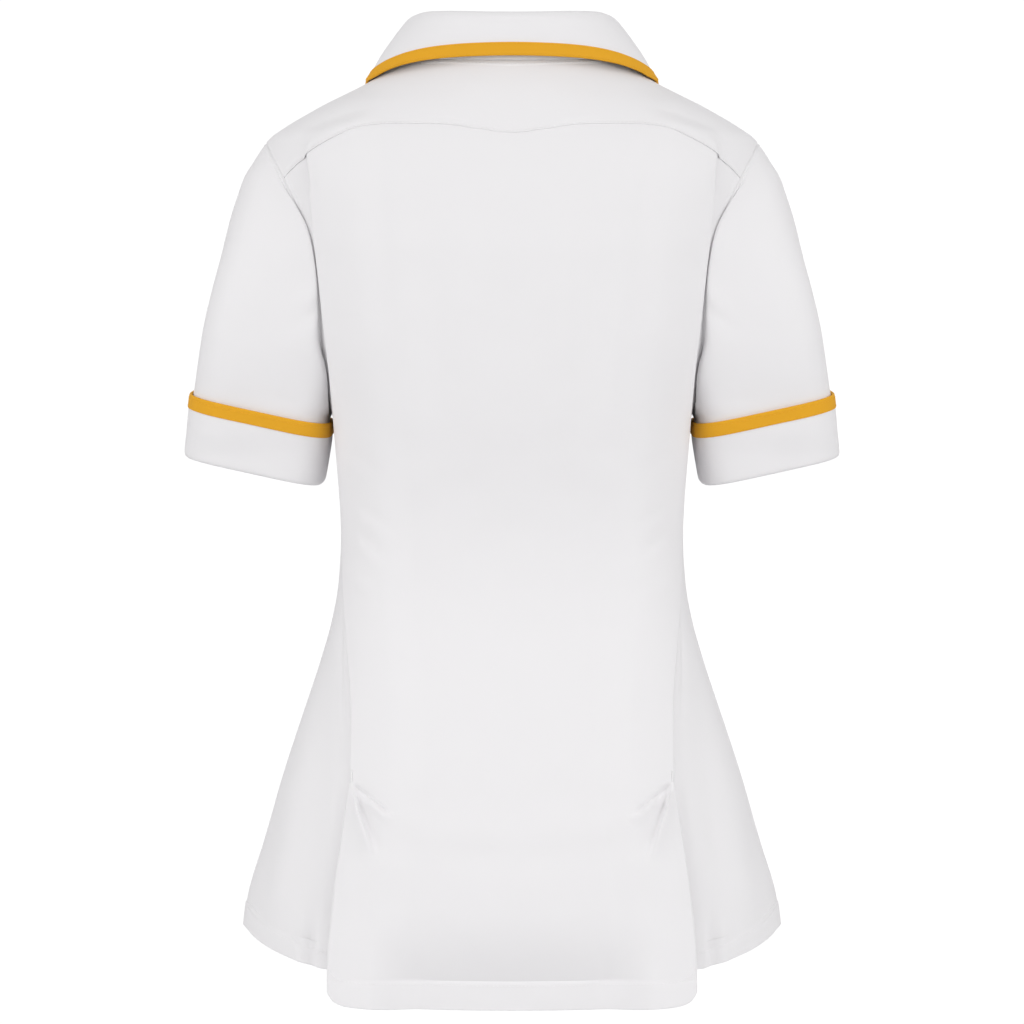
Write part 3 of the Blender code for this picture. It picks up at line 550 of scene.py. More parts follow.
    def sleeve_point(self, angle: npt.ArrayLike, height: npt.ArrayLike,
                     lift: npt.ArrayLike = 0.0) -> Array:
        """Return points of the left sleeve.

        Args:
            angle: Turns from the sleeve's outer side towards its back, in radians.
            height: Heights above the nape seam.
            lift: How far outside the sleeve they lie.

        Returns:
            The points.
        """
        def place(at_angle: npt.ArrayLike, at_height: npt.ArrayLike) -> Array:
            """Return points of the sleeve itself."""
            outer, inner, middle_y, half_depth = (c(at_height) for c in self.sleeve)
            fullness = np.where(np.sin(at_angle) >= 0, self.sleeve_back_fullness,
                                self.sleeve_front_fullness)
            sine, cosine = ring_point(at_angle, fullness)
            return stacked((outer + inner) / 2 + (outer - inner) / 2 * cosine,
                           middle_y + half_depth * sine, at_height)

        angle = np.asarray(angle, dtype=float)
        height = np.asarray(height, dtype=float)
        around = place(angle + 0.01, height) - place(angle - 0.01, height)
        upward = place(angle, height + 0.5) - place(angle, height - 0.5)
        lifted = np.asarray(lift, dtype=float)[..., None] * unit(np.cross(around, upward))
        return place(angle, height) + lifted

    def sleeve_hem_height(self, angle: npt.ArrayLike, above: npt.ArrayLike) -> Array:
        """Return the heights of the sleeve's hem plane, or of a plane above it."""
        height = np.full(np.broadcast(angle, above).shape, self.hem_outer)
        for _ in range(4):
            point = self.sleeve_point(angle, height)
            height = self.hem_outer + self.hem_rise_out * (point[..., 0] - self.hem_outer_x)
            height = height - self.hem_drop_back * (point[..., 1] - self.hem_middle_y) + above
        return height

    def pushed_out(self, points: Array, lift: float) -> Array:
        """Return points moved out until each is at least a given lift off the body."""
        def reach(place: Array) -> Array:
            """Return how far outside the body's slices points are, as a share."""
            half_width, back, front, back_full, front_full = (
                c(place[..., 2]) for c in self.body)
            behind = place[..., 1] >= 0
            depth = np.where(behind, back, front)
            fullness = np.where(behind, back_full, front_full)
            total = (np.abs(place[..., 0]) / half_width) ** fullness
            total = total + (np.abs(place[..., 1]) / depth) ** fullness
            return total ** (1 / fullness) - 1

        for _ in range(4):
            here = reach(points)
            slope = np.stack([reach(points + step) - here for step in 0.2 * np.eye(3)], -1) / 0.2
            size = np.linalg.norm(slope, axis=-1)
            short = np.maximum(lift - here / size, 0.0)
            points = points + short[..., None] * slope / size[..., None]
        return points


FORM = BodyForm()
YOKE_CURVE = Curve(YOKE_EDGE)
BACK_HEM_CURVE = Curve(BACK_HEM)
SIDE_HEM_CURVE = Curve(SIDE_HEM)
PLEAT_CURVE = Curve(PLEAT_EDGE)
NECK_CURVE = Curve(NECK_FRONT)
LAPEL_CURVE = Curve(LAPEL_OUTER)


@dataclass
class Cloth:
    """A piece of cloth as rows of points in its middle, and what its mesh needs.

    Rows run from the piece's top and columns across it.  A ring's last column lies
    on its first.
    """

    name: str
    points: Array
    wall: float
    slot: Slot = Slot.WHITE
    ring: bool = False
    outward: int = 1
    rounded: float = 0.0
    seam_mask: Array | None = None

    def __post_init__(self) -> None:
        """Close a ring whose ends were given a rounding apart."""
        self.close()

    def close(self) -> None:
        """Lay a ring's last column exactly on its first."""
        if self.ring:
            self.points[:, -1] = self.points[:, 0]

    def mark_seams(self, mask: Array) -> None:
        """Say how near a seam the cloth is, from 0 to 1, by row, by column or by point."""
        self.seam_mask = np.broadcast_to(mask, self.points.shape[:2])

    def normals(self) -> Array:
        """Return the cloth's outward directions at its points."""
        across = np.gradient(self.points, axis=1)
        down = np.gradient(self.points, axis=0)
        if self.ring:
            joint = self.points[:, 1] - self.points[:, -2]
            across[:, 0] = joint
            across[:, -1] = joint
        return self.outward * unit(np.cross(down, across))

    def lift(self, amount: Array) -> None:
        """Move the cloth along its own outward directions."""
        self.points = self.points + np.asarray(amount)[..., None] * self.normals()
        self.close()

    def mirrored(self, name: str) -> "Cloth":
        """Return the same piece for the other side of the body."""
        return Cloth(name, on_side(self.points, Side.RIGHT), self.wall, self.slot, self.ring,
                     -self.outward, self.rounded, self.seam_mask)

    def flat_places(self) -> Array:
        """Return the cloth's places on its own plane, in metres, for its weave."""
        steps = np.linalg.norm(np.diff(self.points, axis=1), axis=-1)
        across = np.concatenate([np.zeros((len(steps), 1)), np.cumsum(steps, axis=1)], axis=1)
        middle = across.shape[1] // 2
        across = across - across[:, middle:middle + 1]
        drops = np.linalg.norm(np.diff(self.points, axis=0), axis=-1)
        down = np.concatenate([np.zeros((1, drops.shape[1])), np.cumsum(drops, axis=0)])
        return np.stack([across, -down], axis=-1) * MM

    def build(self) -> bpy.types.Object:
        """Make the mesh, with its wall, its weave's map and its seam mask.

        Returns:
            The finished piece, at the origin.
        """
        rows, columns = self.points.shape[:2]
        bpy.ops.object.select_all(action="DESELECT")
        bpy.ops.mesh.primitive_grid_add(x_subdivisions=columns - 1, y_subdivisions=rows - 1,
                                        size=2.0, location=(0, 0, 0))
        piece = bpy.context.object
        piece.name = self.name
        mesh = piece.data
        mesh.name = self.name
        flat = np.zeros(len(mesh.vertices) * 3)
        mesh.vertices.foreach_get("co", flat)
        flat = flat.reshape(-1, 3)
        column = np.rint((flat[:, 0] + 1) / 2 * (columns - 1)).astype(int)
        row = np.rint((1 - flat[:, 1]) / 2 * (rows - 1)).astype(int)
        points = self.points[row, column] * MM
        mesh.vertices.foreach_set("co", points.ravel())
        corner = np.zeros(len(mesh.loops), dtype=np.int32)
        mesh.loops.foreach_get("vertex_index", corner)
        places = self.flat_places()[row, column]
        mesh.uv_layers[0].name = "cloth"
        mesh.uv_layers[0].uv.foreach_set("vector", places[corner].ravel())
        mask = mesh.attributes.new("near_seam", "FLOAT", "POINT")
        values = np.zeros(len(points)) if self.seam_mask is None else self.seam_mask[row, column]
        mask.data.foreach_set("value", values.astype(np.float32))
        mesh.update()
        bpy.ops.object.mode_set(mode="EDIT")
        bpy.ops.mesh.select_all(action="SELECT")
        if self.ring:
            bpy.ops.mesh.remove_doubles(threshold=0.000005)
        if self.outward < 0:
            bpy.ops.mesh.flip_normals()
        bpy.ops.object.mode_set(mode="OBJECT")
        wall = piece.modifiers.new("wall", "SOLIDIFY")
        wall.thickness = self.wall * MM
        wall.offset = 0.0
        wall.use_quality_normals = True
        bpy.ops.object.modifier_apply(modifier=wall.name)
        if self.rounded:
            edge = piece.modifiers.new("edge", "BEVEL")
            edge.width = self.rounded * MM
            edge.segments = 2
            edge.limit_method = "ANGLE"
            edge.angle_limit = math.radians(60)
            bpy.ops.object.modifier_apply(modifier=edge.name)
        bpy.ops.object.shade_smooth_by_angle(angle=math.radians(48))
        return piece


def triangle_count(piece: bpy.types.Object) -> int:
    """Return how many triangles a piece's mesh has."""
    piece.data.calc_loop_triangles()
    return len(piece.data.loop_triangles)


def face_path(cloth: Cloth, row: float | None = None, column: float | None = None,
              proud: float = 0.13) -> tuple[Array, Array]:
    """Return a line along one row or one column, on the cloth's outer face.

    Args:
        cloth: The piece.
        row: The row, which may lie between two, or None for a column.
        column: The column, which may lie between two, or None for a row.
        proud: How far off the face the line is.

    Returns:
        The points and the ways out.
    """
    normals = cloth.normals()
    grid = cloth.points + normals * (cloth.wall / 2 + proud)
    if row is None:
        grid = np.swapaxes(grid, 0, 1)
        normals = np.swapaxes(normals, 0, 1)
    place = column if row is None else row
    index = min(int(place), len(grid) - 2)
    share = place - index
    points = grid[index] * (1 - share) + grid[index + 1] * share
    return points, unit(normals[index] * (1 - share) + normals[index + 1] * share)


def distances_along(path: Array) -> Array:
    """Return how far along a path each of its points is."""
    steps = np.linalg.norm(np.diff(path, axis=0), axis=1)
    return np.concatenate([[0.0], np.cumsum(steps)])


def read_at(place: float, run: Array, values: Array) -> Array:
    """Return what a path's points, or its ways out, are at a distance along it."""
    return np.array([np.interp(place, run, values[:, axis]) for axis in range(3)])


@dataclass
class Thread:
    """Lines of stitches, gathered for one part of the tunic and made as one mesh."""

    name: str
    slot: Slot = Slot.WHITE
    pitch: float = 3.0
    length: float = 2.3
    radius: float = 0.2
    places: list[Array] = field(default_factory=list)

    def sew(self, path: Array, normals: Array) -> None:
        """Add a line of stitches that lies along a path on the cloth's face.

        Args:
            path: Points on the face of the cloth, in millimetres.
            normals: The way out of the cloth at each point.
        """
        run = distances_along(path)
        half = self.length / 2
        for middle in np.arange(half, run[-1] - half, self.pitch):
            start, end, centre = (read_at(place, run, path)
                                  for place in (middle - half, middle + half, middle))
            along = unit(end - start)
            beside = unit(np.cross(unit(read_at(middle, run, normals)), along))
            out = np.cross(along, beside)
            self.places.append(np.stack([along * half, beside * self.radius,
                                         out * self.radius, centre]))

    def sew_line(self, cloth: Cloth, keep: slice = slice(None), **line: float) -> None:
        """Add stitches along one row or column of a piece.

        Args:
            cloth: The piece.
            keep: Which of the line's points the stitches follow.
            line: What face_path asks for: the row or the column, and how proud it is.
        """
        path, normals = face_path(cloth, **line)
        self.sew(path[keep], normals[keep])

    def bar(self, path: Array, normals: Array, width: float) -> None:
        """Add close stitches that cross a path, as at the top of a vent.

        Args:
            path: Points on the face of the cloth, in millimetres.
            normals: The way out of the cloth at each point.
            width: How long each stitch is.
        """
        run = distances_along(path)
        for middle in np.arange(self.radius, run[-1], 1.3 * self.radius):
            centre = read_at(middle, run, path)
            out = unit(read_at(middle, run, normals))
            index = min(int(np.searchsorted(run, middle)), len(path) - 1)
            along = unit(path[index] - path[index - 1])
            beside = unit(np.cross(out, along))
            self.places.append(np.stack([beside * width / 2, -along * self.radius,
                                         out * self.radius, centre]))

    def one_stitch(self) -> bpy.types.Object:
        """Model one stitch about the origin, 2 units long and 2 wide."""
        bpy.ops.object.select_all(action="DESELECT")
        bpy.ops.mesh.primitive_uv_sphere_add(segments=5, ring_count=4, radius=1.0,
                                             rotation=(0, math.pi / 2, 0))
        stitch = bpy.context.object
        bpy.ops.object.transform_apply(location=False, rotation=True, scale=False)
        bpy.ops.object.mode_set(mode="EDIT")
        bpy.ops.mesh.select_all(action="SELECT")
        bpy.ops.transform.resize(value=(1.0, 1.0, 0.9))
        bpy.ops.object.mode_set(mode="OBJECT")
        return stitch

    def build(self) -> bpy.types.Object:
        """Copy the one stitch to every place, as one mesh.

        Returns:
            The finished stitches.
        """
        stitch = self.one_stitch()
        shape = np.zeros(len(stitch.data.vertices) * 3)
        stitch.data.vertices.foreach_get("co", shape)
        shape = shape.reshape(-1, 3)
        faces = [list(face.vertices) for face in stitch.data.polygons]
        places = np.array(self.places)
        points = np.einsum("vk,nkc->nvc", shape, places[:, :3]) + places[:, 3][:, None]
        count = len(shape)
        all_faces = [[index + count * copy for index in face]
                     for copy in range(len(places)) for face in faces]
        mesh = bpy.data.meshes.new(self.name)
        mesh.from_pydata((points.reshape(-1, 3) * MM).tolist(), [], all_faces)
        mesh.shade_smooth()
        piece = bpy.data.objects.new(self.name, mesh)
        bpy.context.scene.collection.objects.link(piece)
        bpy.data.objects.remove(stitch, do_unlink=True)
        return piece


def new_material(name: str) -> tuple[bpy.types.Material, bpy.types.Node]:
    """Return a new material made of nodes, and its shader."""
    material = bpy.data.materials.new(name)
    material.use_nodes = True
    return material, material.node_tree.nodes["Principled BSDF"]


def give(node: bpy.types.Node, values: dict[str, object]) -> None:
    """Give a node's inputs their plain values."""
    for label, value in values.items():
        node.inputs[label].default_value = value


def colour_ramp(nodes: bpy.types.Nodes, dark: Colour, light: Colour, start: float,
                end: float) -> bpy.types.Node:
    """Return a new ramp node, dark up to one place and light from another."""
    ramp = nodes.new("ShaderNodeValToRGB")
    for index, (position, colour) in enumerate(((start, dark), (end, light))):
        element = ramp.color_ramp.elements[index]
        element.position = position
        element.color = (*colour, 1.0)
    return ramp


@dataclass(frozen=True)
class WeaveGroup:
    """The node group that all the woven finishes share."""

    name: str = "woven_cloth"

    def tree(self) -> bpy.types.NodeTree:
        """Build the group once, and return it.

        It takes the cloth's own places in metres, the seam mask and the pitches, and
        gives a height in millimetres and two masks: the ribs, whose grooves the material
        paints darker as painted shade, and a random cloud of tone.

        Returns:
            The node group.
        """
        found = bpy.data.node_groups.get(self.name)
        if found:
            return found
        tree = bpy.data.node_groups.new(self.name, "ShaderNodeTree")
        face = tree.interface
        for label, kind in (("Place", "NodeSocketVector"), ("Object Place", "NodeSocketVector"),
                            ("Near Seam", "NodeSocketFloat"), ("Ribs", "NodeSocketFloat"),
                            ("Slant", "NodeSocketFloat"), ("Rib Height", "NodeSocketFloat"),
                            ("Crumple", "NodeSocketFloat")):
            face.new_socket(name=label, in_out="INPUT", socket_type=kind)
        for label in ("Height", "Rib Shade Mask", "Cloud Mask"):
            face.new_socket(name=label, in_out="OUTPUT", socket_type="NodeSocketFloat")
        nodes = tree.nodes
        source = nodes.new("NodeGroupInput")
        result = nodes.new("NodeGroupOutput")
        link = tree.links.new

        def maths(operation: str, first: object, second: object) -> bpy.types.NodeSocket:
            """Return the output of a Math node fed by sockets or plain numbers."""
            node = nodes.new("ShaderNodeMath")
            node.operation = operation
            for index, value in enumerate((first, second)):
                if isinstance(value, (int, float)):
                    node.inputs[index].default_value = value
                else:
                    link(value, node.inputs[index])
            return node.outputs[0]

        def clouds(vector: bpy.types.NodeSocket, scale: float, detail: float,
                   stretch: tuple[float, float, float] = (1, 1, 1)) -> bpy.types.NodeSocket:
            """Return a noise field, from -0.5 to 0.5, of a scale per metre."""
            mapping = nodes.new("ShaderNodeMapping")
            mapping.inputs["Scale"].default_value = stretch
            link(vector, mapping.inputs["Vector"])
            noise = nodes.new("ShaderNodeTexNoise")
            noise.inputs["Scale"].default_value = scale
            noise.inputs["Detail"].default_value = detail
            link(mapping.outputs[0], noise.inputs["Vector"])
            return maths("SUBTRACT", noise.outputs["Fac"], 0.5)

        parts = nodes.new("ShaderNodeSeparateXYZ")
        link(source.outputs["Place"], parts.inputs[0])
        slanted = maths("MULTIPLY", parts.outputs[1], source.outputs["Slant"])
        diagonal = maths("ADD", parts.outputs[0], slanted)
        wander = maths("MULTIPLY", clouds(source.outputs["Place"], 260, 1), 0.0003)
        phase = maths("MULTIPLY", maths("ADD", diagonal, wander), source.outputs["Ribs"])
        wave = maths("SINE", maths("MULTIPLY", phase, 2 * math.pi), 0)
        rib = maths("MULTIPLY", maths("ADD", wave, 1.0), 0.5)
        yarn = clouds(source.outputs["Place"], 900, 2, (1, 0.25, 1))
        rib_height = maths("MULTIPLY", maths("ADD", rib, maths("MULTIPLY", yarn, 0.5)),
                           source.outputs["Rib Height"])
        crumple = maths("MULTIPLY", clouds(source.outputs["Object Place"], 26, 3), 0.55)
        small = maths("MULTIPLY", clouds(source.outputs["Object Place"], 95, 2), 0.12)
        both = maths("MULTIPLY", maths("ADD", crumple, small), source.outputs["Crumple"])
        pucker = maths("MULTIPLY", clouds(source.outputs["Place"], 150, 1), 0.5)
        sewn = maths("MULTIPLY", pucker, source.outputs["Near Seam"])
        height = maths("ADD", maths("ADD", rib_height, both), sewn)
        link(height, result.inputs["Height"])
        # The ribs' wave also paints shade into their grooves, through the material's colour ramp.
        link(rib, result.inputs["Rib Shade Mask"])
        cloud = maths("ADD", clouds(source.outputs["Object Place"], 11, 4), 0.5)
        link(cloud, result.inputs["Cloud Mask"])
        return tree


@dataclass(frozen=True)
class WovenFinish:
    """A woven finish: its two colours, its ribs with painted shade in their grooves, and how matt
    it is.
    """

    name: str
    light: Colour
    dark: Colour
    ribs: float
    slant: float
    rib_height: float
    crumple: float
    roughness: float
    sheen: float
    gloss: float = 0.25

    def material(self) -> bpy.types.Material:
        """Build the material once, and return it.

        Returns:
            The procedural material.
        """
        found = bpy.data.materials.get(self.name)
        if found:
            return found
        material, shader = new_material(self.name)
        nodes = material.node_tree.nodes
        link = material.node_tree.links.new
        give(shader, {"Roughness": self.roughness, "Specular IOR Level": self.gloss,
                      "Sheen Weight": self.sheen, "Sheen Roughness": 0.5})
        places = nodes.new("ShaderNodeTexCoord")
        weave = nodes.new("ShaderNodeUVMap")
        weave.uv_map = "cloth"
        mask = nodes.new("ShaderNodeAttribute")
        mask.attribute_name = "near_seam"
        group = nodes.new("ShaderNodeGroup")
        group.node_tree = WeaveGroup().tree()
        give(group, {"Ribs": self.ribs, "Slant": self.slant, "Rib Height": self.rib_height,
                     "Crumple": self.crumple})
        link(weave.outputs[0], group.inputs["Place"])
        link(places.outputs["Object"], group.inputs["Object Place"])
        link(mask.outputs["Fac"], group.inputs["Near Seam"])
        # Painted shade: the ribs' grooves are darkened, under a random cloud of tone.
        shade_and_tone = nodes.new("ShaderNodeMath")
        shade_and_tone.operation = "MULTIPLY_ADD"
        shade_and_tone.inputs[1].default_value = 0.45
        link(group.outputs["Rib Shade Mask"], shade_and_tone.inputs[0])
        link(group.outputs["Cloud Mask"], shade_and_tone.inputs[2])
        ramp = colour_ramp(nodes, self.dark, self.light, 0.3, 1.0)
        link(shade_and_tone.outputs[0], ramp.inputs[0])
        link(ramp.outputs[0], shader.inputs["Base Color"])
        bump = nodes.new("ShaderNodeBump")
        give(bump, {"Strength": 1.0, "Distance": MM})
        link(group.outputs["Height"], bump.inputs["Height"])
        link(bump.outputs[0], shader.inputs["Normal"])
        return material


@dataclass(frozen=True)
class ThreadFinish:
    """The finish of sewing thread: a twisted yarn of one colour."""

    name: str
    colour: Colour

    def material(self) -> bpy.types.Material:
        """Build the material once, and return it.

        Returns:
            The procedural material.
        """
        found = bpy.data.materials.get(self.name)
        if found:
            return found
        material, shader = new_material(self.name)
        nodes = material.node_tree.nodes
        link = material.node_tree.links.new
        give(shader, {"Roughness": 0.62, "Specular IOR Level": 0.35})
        places = nodes.new("ShaderNodeTexCoord")
        noise = nodes.new("ShaderNodeTexNoise")
        noise.inputs["Scale"].default_value = 1800.0
        link(places.outputs["Object"], noise.inputs["Vector"])
        shaded = tuple(part * 0.88 for part in self.colour)
        ramp = colour_ramp(nodes, shaded, self.colour, 0.3, 0.7)
        link(noise.outputs["Fac"], ramp.inputs[0])
        link(ramp.outputs[0], shader.inputs["Base Color"])
        bump = nodes.new("ShaderNodeBump")
        bump.inputs["Distance"].default_value = 0.00004
        link(noise.outputs["Fac"], bump.inputs["Height"])
        link(bump.outputs[0], shader.inputs["Normal"])
        return material


WHITE_TWILL = WovenFinish("white_twill", light=(0.835, 0.825, 0.83), dark=(0.79, 0.78, 0.79),
                          ribs=1900.0, slant=0.7, rib_height=0.05, crumple=1.0,
                          roughness=0.86, sheen=0.12)
YELLOW_TAPE = WovenFinish("yellow_tape", light=(0.85, 0.40, 0.004), dark=(0.68, 0.29, 0.002),
                          ribs=1500.0, slant=0.0, rib_height=0.09, crumple=0.5,
                          roughness=0.8, sheen=0.0, gloss=0.05)
WHITE_THREAD = ThreadFinish("white_thread", (0.93, 0.92, 0.93))
YELLOW_THREAD = ThreadFinish("yellow_thread", (0.86, 0.44, 0.02))


@dataclass
class Workroom:
    """Dresses each finished piece: its finish and its place on the body."""

    made: list[bpy.types.Object] = field(default_factory=list)

    def finish(self, piece: bpy.types.Object, slot: Slot,
               finish: WovenFinish | ThreadFinish) -> bpy.types.Object:
        """Give a piece its material and its place on the body."""
        piece.data.materials.clear()
        piece.data.materials.append(finish.material())
        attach(piece, "root")
        self.made.append(piece)
        LOG.info("%s: %d triangles", piece.name, triangle_count(piece))
        return piece

    def cloth(self, cloth: Cloth, node: str, flat: tuple[float, float], area: float,
              held: str = "draped") -> bpy.types.Object:
        """Args:
            cloth: The piece.
            node: The solid that it stands for.
            flat: The width and length of the cut, in metres; not used.
            area: The cut's flat area, in square metres; not used.
            held: How the cloth is held; not used.

        Returns:
            The finished piece.
        """
        finish = YELLOW_TAPE if cloth.slot is Slot.YELLOW else WHITE_TWILL
        piece = self.finish(cloth.build(), cloth.slot, finish)
        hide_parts(node)
        return piece

    def thread(self, thread: Thread) -> bpy.types.Object:
        """Build a part's stitches and dress them."""
        finish = YELLOW_THREAD if thread.slot is Slot.YELLOW else WHITE_THREAD
        return self.finish(thread.build(), thread.slot, finish)


def with_hem(rows: Array, deep: float) -> tuple[Array, Array, Array]:
    """Return a panel's rows with those of its turned hem added.

    Args:
        rows: Where each row is down the panel, the last on the hem's line.
        deep: How deep the hem is.

    Returns:
        Where each row is, how far below its line, and how far in from the face.
    """
    around = np.linspace(0, math.pi, 6)[1:]
    up = np.linspace(0, deep, HEM_ROWS + 1)[1:]
    drops = np.concatenate([HEM_TURN * np.sin(around), -up])
    lifts = np.concatenate([-HEM_TURN * (1 - np.cos(around)), np.full(HEM_ROWS, -2 * HEM_TURN)])
    plain = np.zeros(len(rows))
    return (np.append(rows, np.full(len(drops), rows[-1])),
            np.append(plain, drops)[:, None], np.append(plain, lifts)[:, None])


@dataclass
class BackPanel:
    """The wide back: its pleats, their returns and the free flap below the vents."""

    top: float = PANEL_TOP
    hem: float = PANEL_HEM
    under_yoke: float = 6.0
    pleat_depth: float = 28.0
    bar_high: float = 8.5
    bar_wide: float = 2.4
    bar_column: float = 14.5
    hem_deep: float = 18.0
    fine_hem: float = 24.0
    fine_from: float = -540.0
    fine_to: float = -611.0
    seat: float = -588.0
    hollow: float = 16.0
    wall: float = 0.6
    creases: tuple[Crease, ...] = (
        Crease((34, -70), (36, -345), 2.4, 11, 19, bow=2.5, swell=0.45, fade=0.6),
        Crease((88, -66), (84, -365), 3.0, 12, 22, bow=-4.0, swell=0.45, fade=0.6),
        Crease((61, -80), (62, -300), 1.4, 10, 15, bow=2.0, shape=FoldShape.TROUGH,
               swell=0.5, fade=0.5),
        Crease((122.5, -546), (102, -605), 4.6, 2.4, 5.5, lean=0.5, shape=FoldShape.PINCH,
               swell=0.08, fade=0.35),
        Crease((120, -549), (96.5, -609), 3.0, 2.0, 6.0, lean=-0.3, shape=FoldShape.TROUGH,
               swell=0.12, fade=0.4),
        Crease((121, -548), (90, -570.5), -3.0, 1.8, 2.8, lean=0.35, shape=FoldShape.PINCH,
               swell=0.12, fade=0.15),
        Crease((112, -558), (88, -578), 3.0, 2.6, 5.0, swell=0.3, fade=0.4),
        Crease((93, -568), (87, -572), -0.7, 2.6, 2.6, shape=FoldShape.PINCH, swell=0.5,
               fade=0.5),
        Crease((120, -343), (84, -366), 1.0, 4, 8, shape=FoldShape.STEP, swell=0.2, fade=0.6),
        Crease((120, -364), (92, -388), 0.8, 3.5, 7, shape=FoldShape.STEP, swell=0.2, fade=0.6),
        Crease((122, -398), (100, -410), 0.8, 3, 7, swell=0.2, fade=0.6),
        Crease((126, -300), (98, -322), 0.6, 4, 8, shape=FoldShape.STEP, swell=0.2, fade=0.6),
    )

    def levels(self) -> Array:
        """Return the rows' heights, closer together at the vents and the hem."""
        start = self.top + self.under_yoke
        return np.concatenate([
            np.linspace(start, start - 12.0, 11)[:-1],
            np.linspace(start - 12.0, self.fine_from, 101)[:-1],
            np.linspace(self.fine_from, self.fine_to, 84)[:-1],
            np.linspace(self.fine_to, self.hem + self.fine_hem, 28)[:-1],
            np.linspace(self.hem + self.fine_hem, self.hem, 19)])

    def lift_of(self, across: Array, height: Array, edge: Array) -> Array:
        """Return how far out the outer layer stands, to leave room for the pleat."""
        start = edge - self.pleat_depth - 30.0
        return 2 * LAYER_STEP * ease((across - start) / 28.0) + flare_at(height)

    def detail(self, across: Array, height: Array, from_fold: Array) -> Array:
        """Return how far the creases move the outer layer.

        Args:
            across: Distances from the centre line.
            height: Heights above the nape seam.
            from_fold: Distances out from the pleat's fold, all below 0.

        Returns:
            The lift outwards.
        """
        quiet = 0.2 + 0.8 * ease((-from_fold - 0.5) / 8.0)
        quiet = quiet * ease((YOKE_CURVE(across) - 1.5 - height) / 10.0)
        uneven = 0.55 * soft_noise(across, height, 60.0, 11)
        uneven = uneven + 0.28 * soft_noise(across, height, 26.0, 12)
        return quiet * (creased(across, height, self.creases) + uneven)

    def seat_lift(self, across: Array, height: Array) -> Array:
        """Return how far the seat's bend, the low hollow and the hem move every layer."""
        bend = self.seat + 15.0 * (across / 112.0) ** 2
        middle = ease((112.0 - across) / 45.0)
        lift = -6.0 * ease((135.0 - across) / 80.0) * ease((bend - height) / 100.0)
        lift = lift + 0.6 * middle * bell(height - bend - 4.0, 10.0)
        lift = lift - 0.7 * middle * bell(height - bend + 14.0, 11.0)
        low = np.clip((-640.0 - height) / 54.0, 0.0, 1.0)
        lift = lift - self.hollow * middle * low ** 2
        lift = lift - 0.08 * middle * np.clip(-694.0 - height, 0.0, 20.0)
        return lift + 1.0 * ease((self.hem + self.hem_deep + 0.8 - height) / 1.6)

    def half(self) -> Array:
        """Return the left half's points, centre line first."""
        levels = self.levels()
        level, drop, inner = with_hem(levels, self.hem_deep)
        tucked = -TUCK * ease((levels - self.top + 1.0) / 2.0)
        inner[:len(levels)] += tucked[:, None]
        edge = PLEAT_CURVE(level)[:, None]
        edge = edge + 0.3 * soft_noise(level, 0 * level, 45.0, 3)[:, None]
        spread = np.concatenate([np.linspace(0, 0.58, 19)[:-1], np.linspace(0.58, 1, 34)])
        outer = spread[None, :] * (edge - self.pleat_depth)
        side = edge - np.linspace(self.pleat_depth, LAYER_STEP / 2, 25)[None, 1:]
        turn = np.radians(np.linspace(90, -90, 9))[None, 1:]
        fold = edge - LAYER_STEP / 2 + LAYER_STEP / 2 * np.cos(turn)
        back = edge - np.linspace(LAYER_STEP / 2, self.pleat_depth, 7)[None, 1:]
        across = np.concatenate([outer, side, fold, back], axis=1)
        level = level[:, None]
        yoke_rise = YOKE_CURVE(across) - SEAM - self.top
        height = level + share_at(level, YOKE_SHARE) * yoke_rise
        height = height + share_at(level, HEM_SHARE) * (BACK_HEM_CURVE(across) - self.hem)
        flare = flare_at(height)
        layers = self.lift_of(across, height, edge)
        first = outer.shape[1] + side.shape[1]
        after = first + fold.shape[1]
        detail = self.detail(across, height, across - edge)
        layers[:, :first] += detail[:, :first]
        near = detail[:, first - 1:first]
        layers[:, first:after] = (
            1.5 * LAYER_STEP + LAYER_STEP / 2 * np.sin(turn) + flare[:, first:after]
            + near * (1 + np.sin(turn)) / 2)
        layers[:, after:] = LAYER_STEP + flare[:, after:]
        layers[:, after:] += np.clip(detail[:, after:], -1.6, 0.0)
        lift = layers + inner + self.seat_lift(across, height)
        height = height - drop
        return FORM.at(FORM.back_angle(across, height, lift), height, lift)

    def cloth(self) -> Cloth:
        """Return the whole panel with its creases."""
        points = both_halves(self.half())
        cloth = Cloth("back_panel_cloth", points, self.wall, outward=-1)
        x = np.abs(points[..., 0])
        z = points[..., 2]
        cloth.mark_seams(np.maximum(bell(z - (self.hem + self.hem_deep), 5.0),
                                    bell(z - YOKE_CURVE(x), 7.0)))
        return cloth

    def build(self, room: Workroom) -> None:
        """Build the panel, its hem's stitches and the bars at the tops of its vents."""
        cloth = self.cloth()
        room.cloth(cloth, "back_panel", (0.40, 0.69), 0.262)
        thread = Thread("back_panel_stitches")
        levels = self.levels()
        rows = np.arange(len(levels))
        hem_row = float(np.interp(-(self.hem + self.hem_deep), -levels, rows))
        thread.sew_line(cloth, slice(16, -16), row=hem_row)
        room.thread(thread)
        bars = Thread("vent_bars", radius=0.3)
        first = int(np.argmax(levels < VENT_TOP + self.bar_high))
        last = int(np.argmax(levels < VENT_TOP))
        for column in (self.bar_column, cloth.points.shape[1] - 1 - self.bar_column):
            path, normals = face_path(cloth, column=column, proud=0.2)
            bars.bar(path[first:last], normals[first:last], self.bar_wide)
        room.thread(bars)


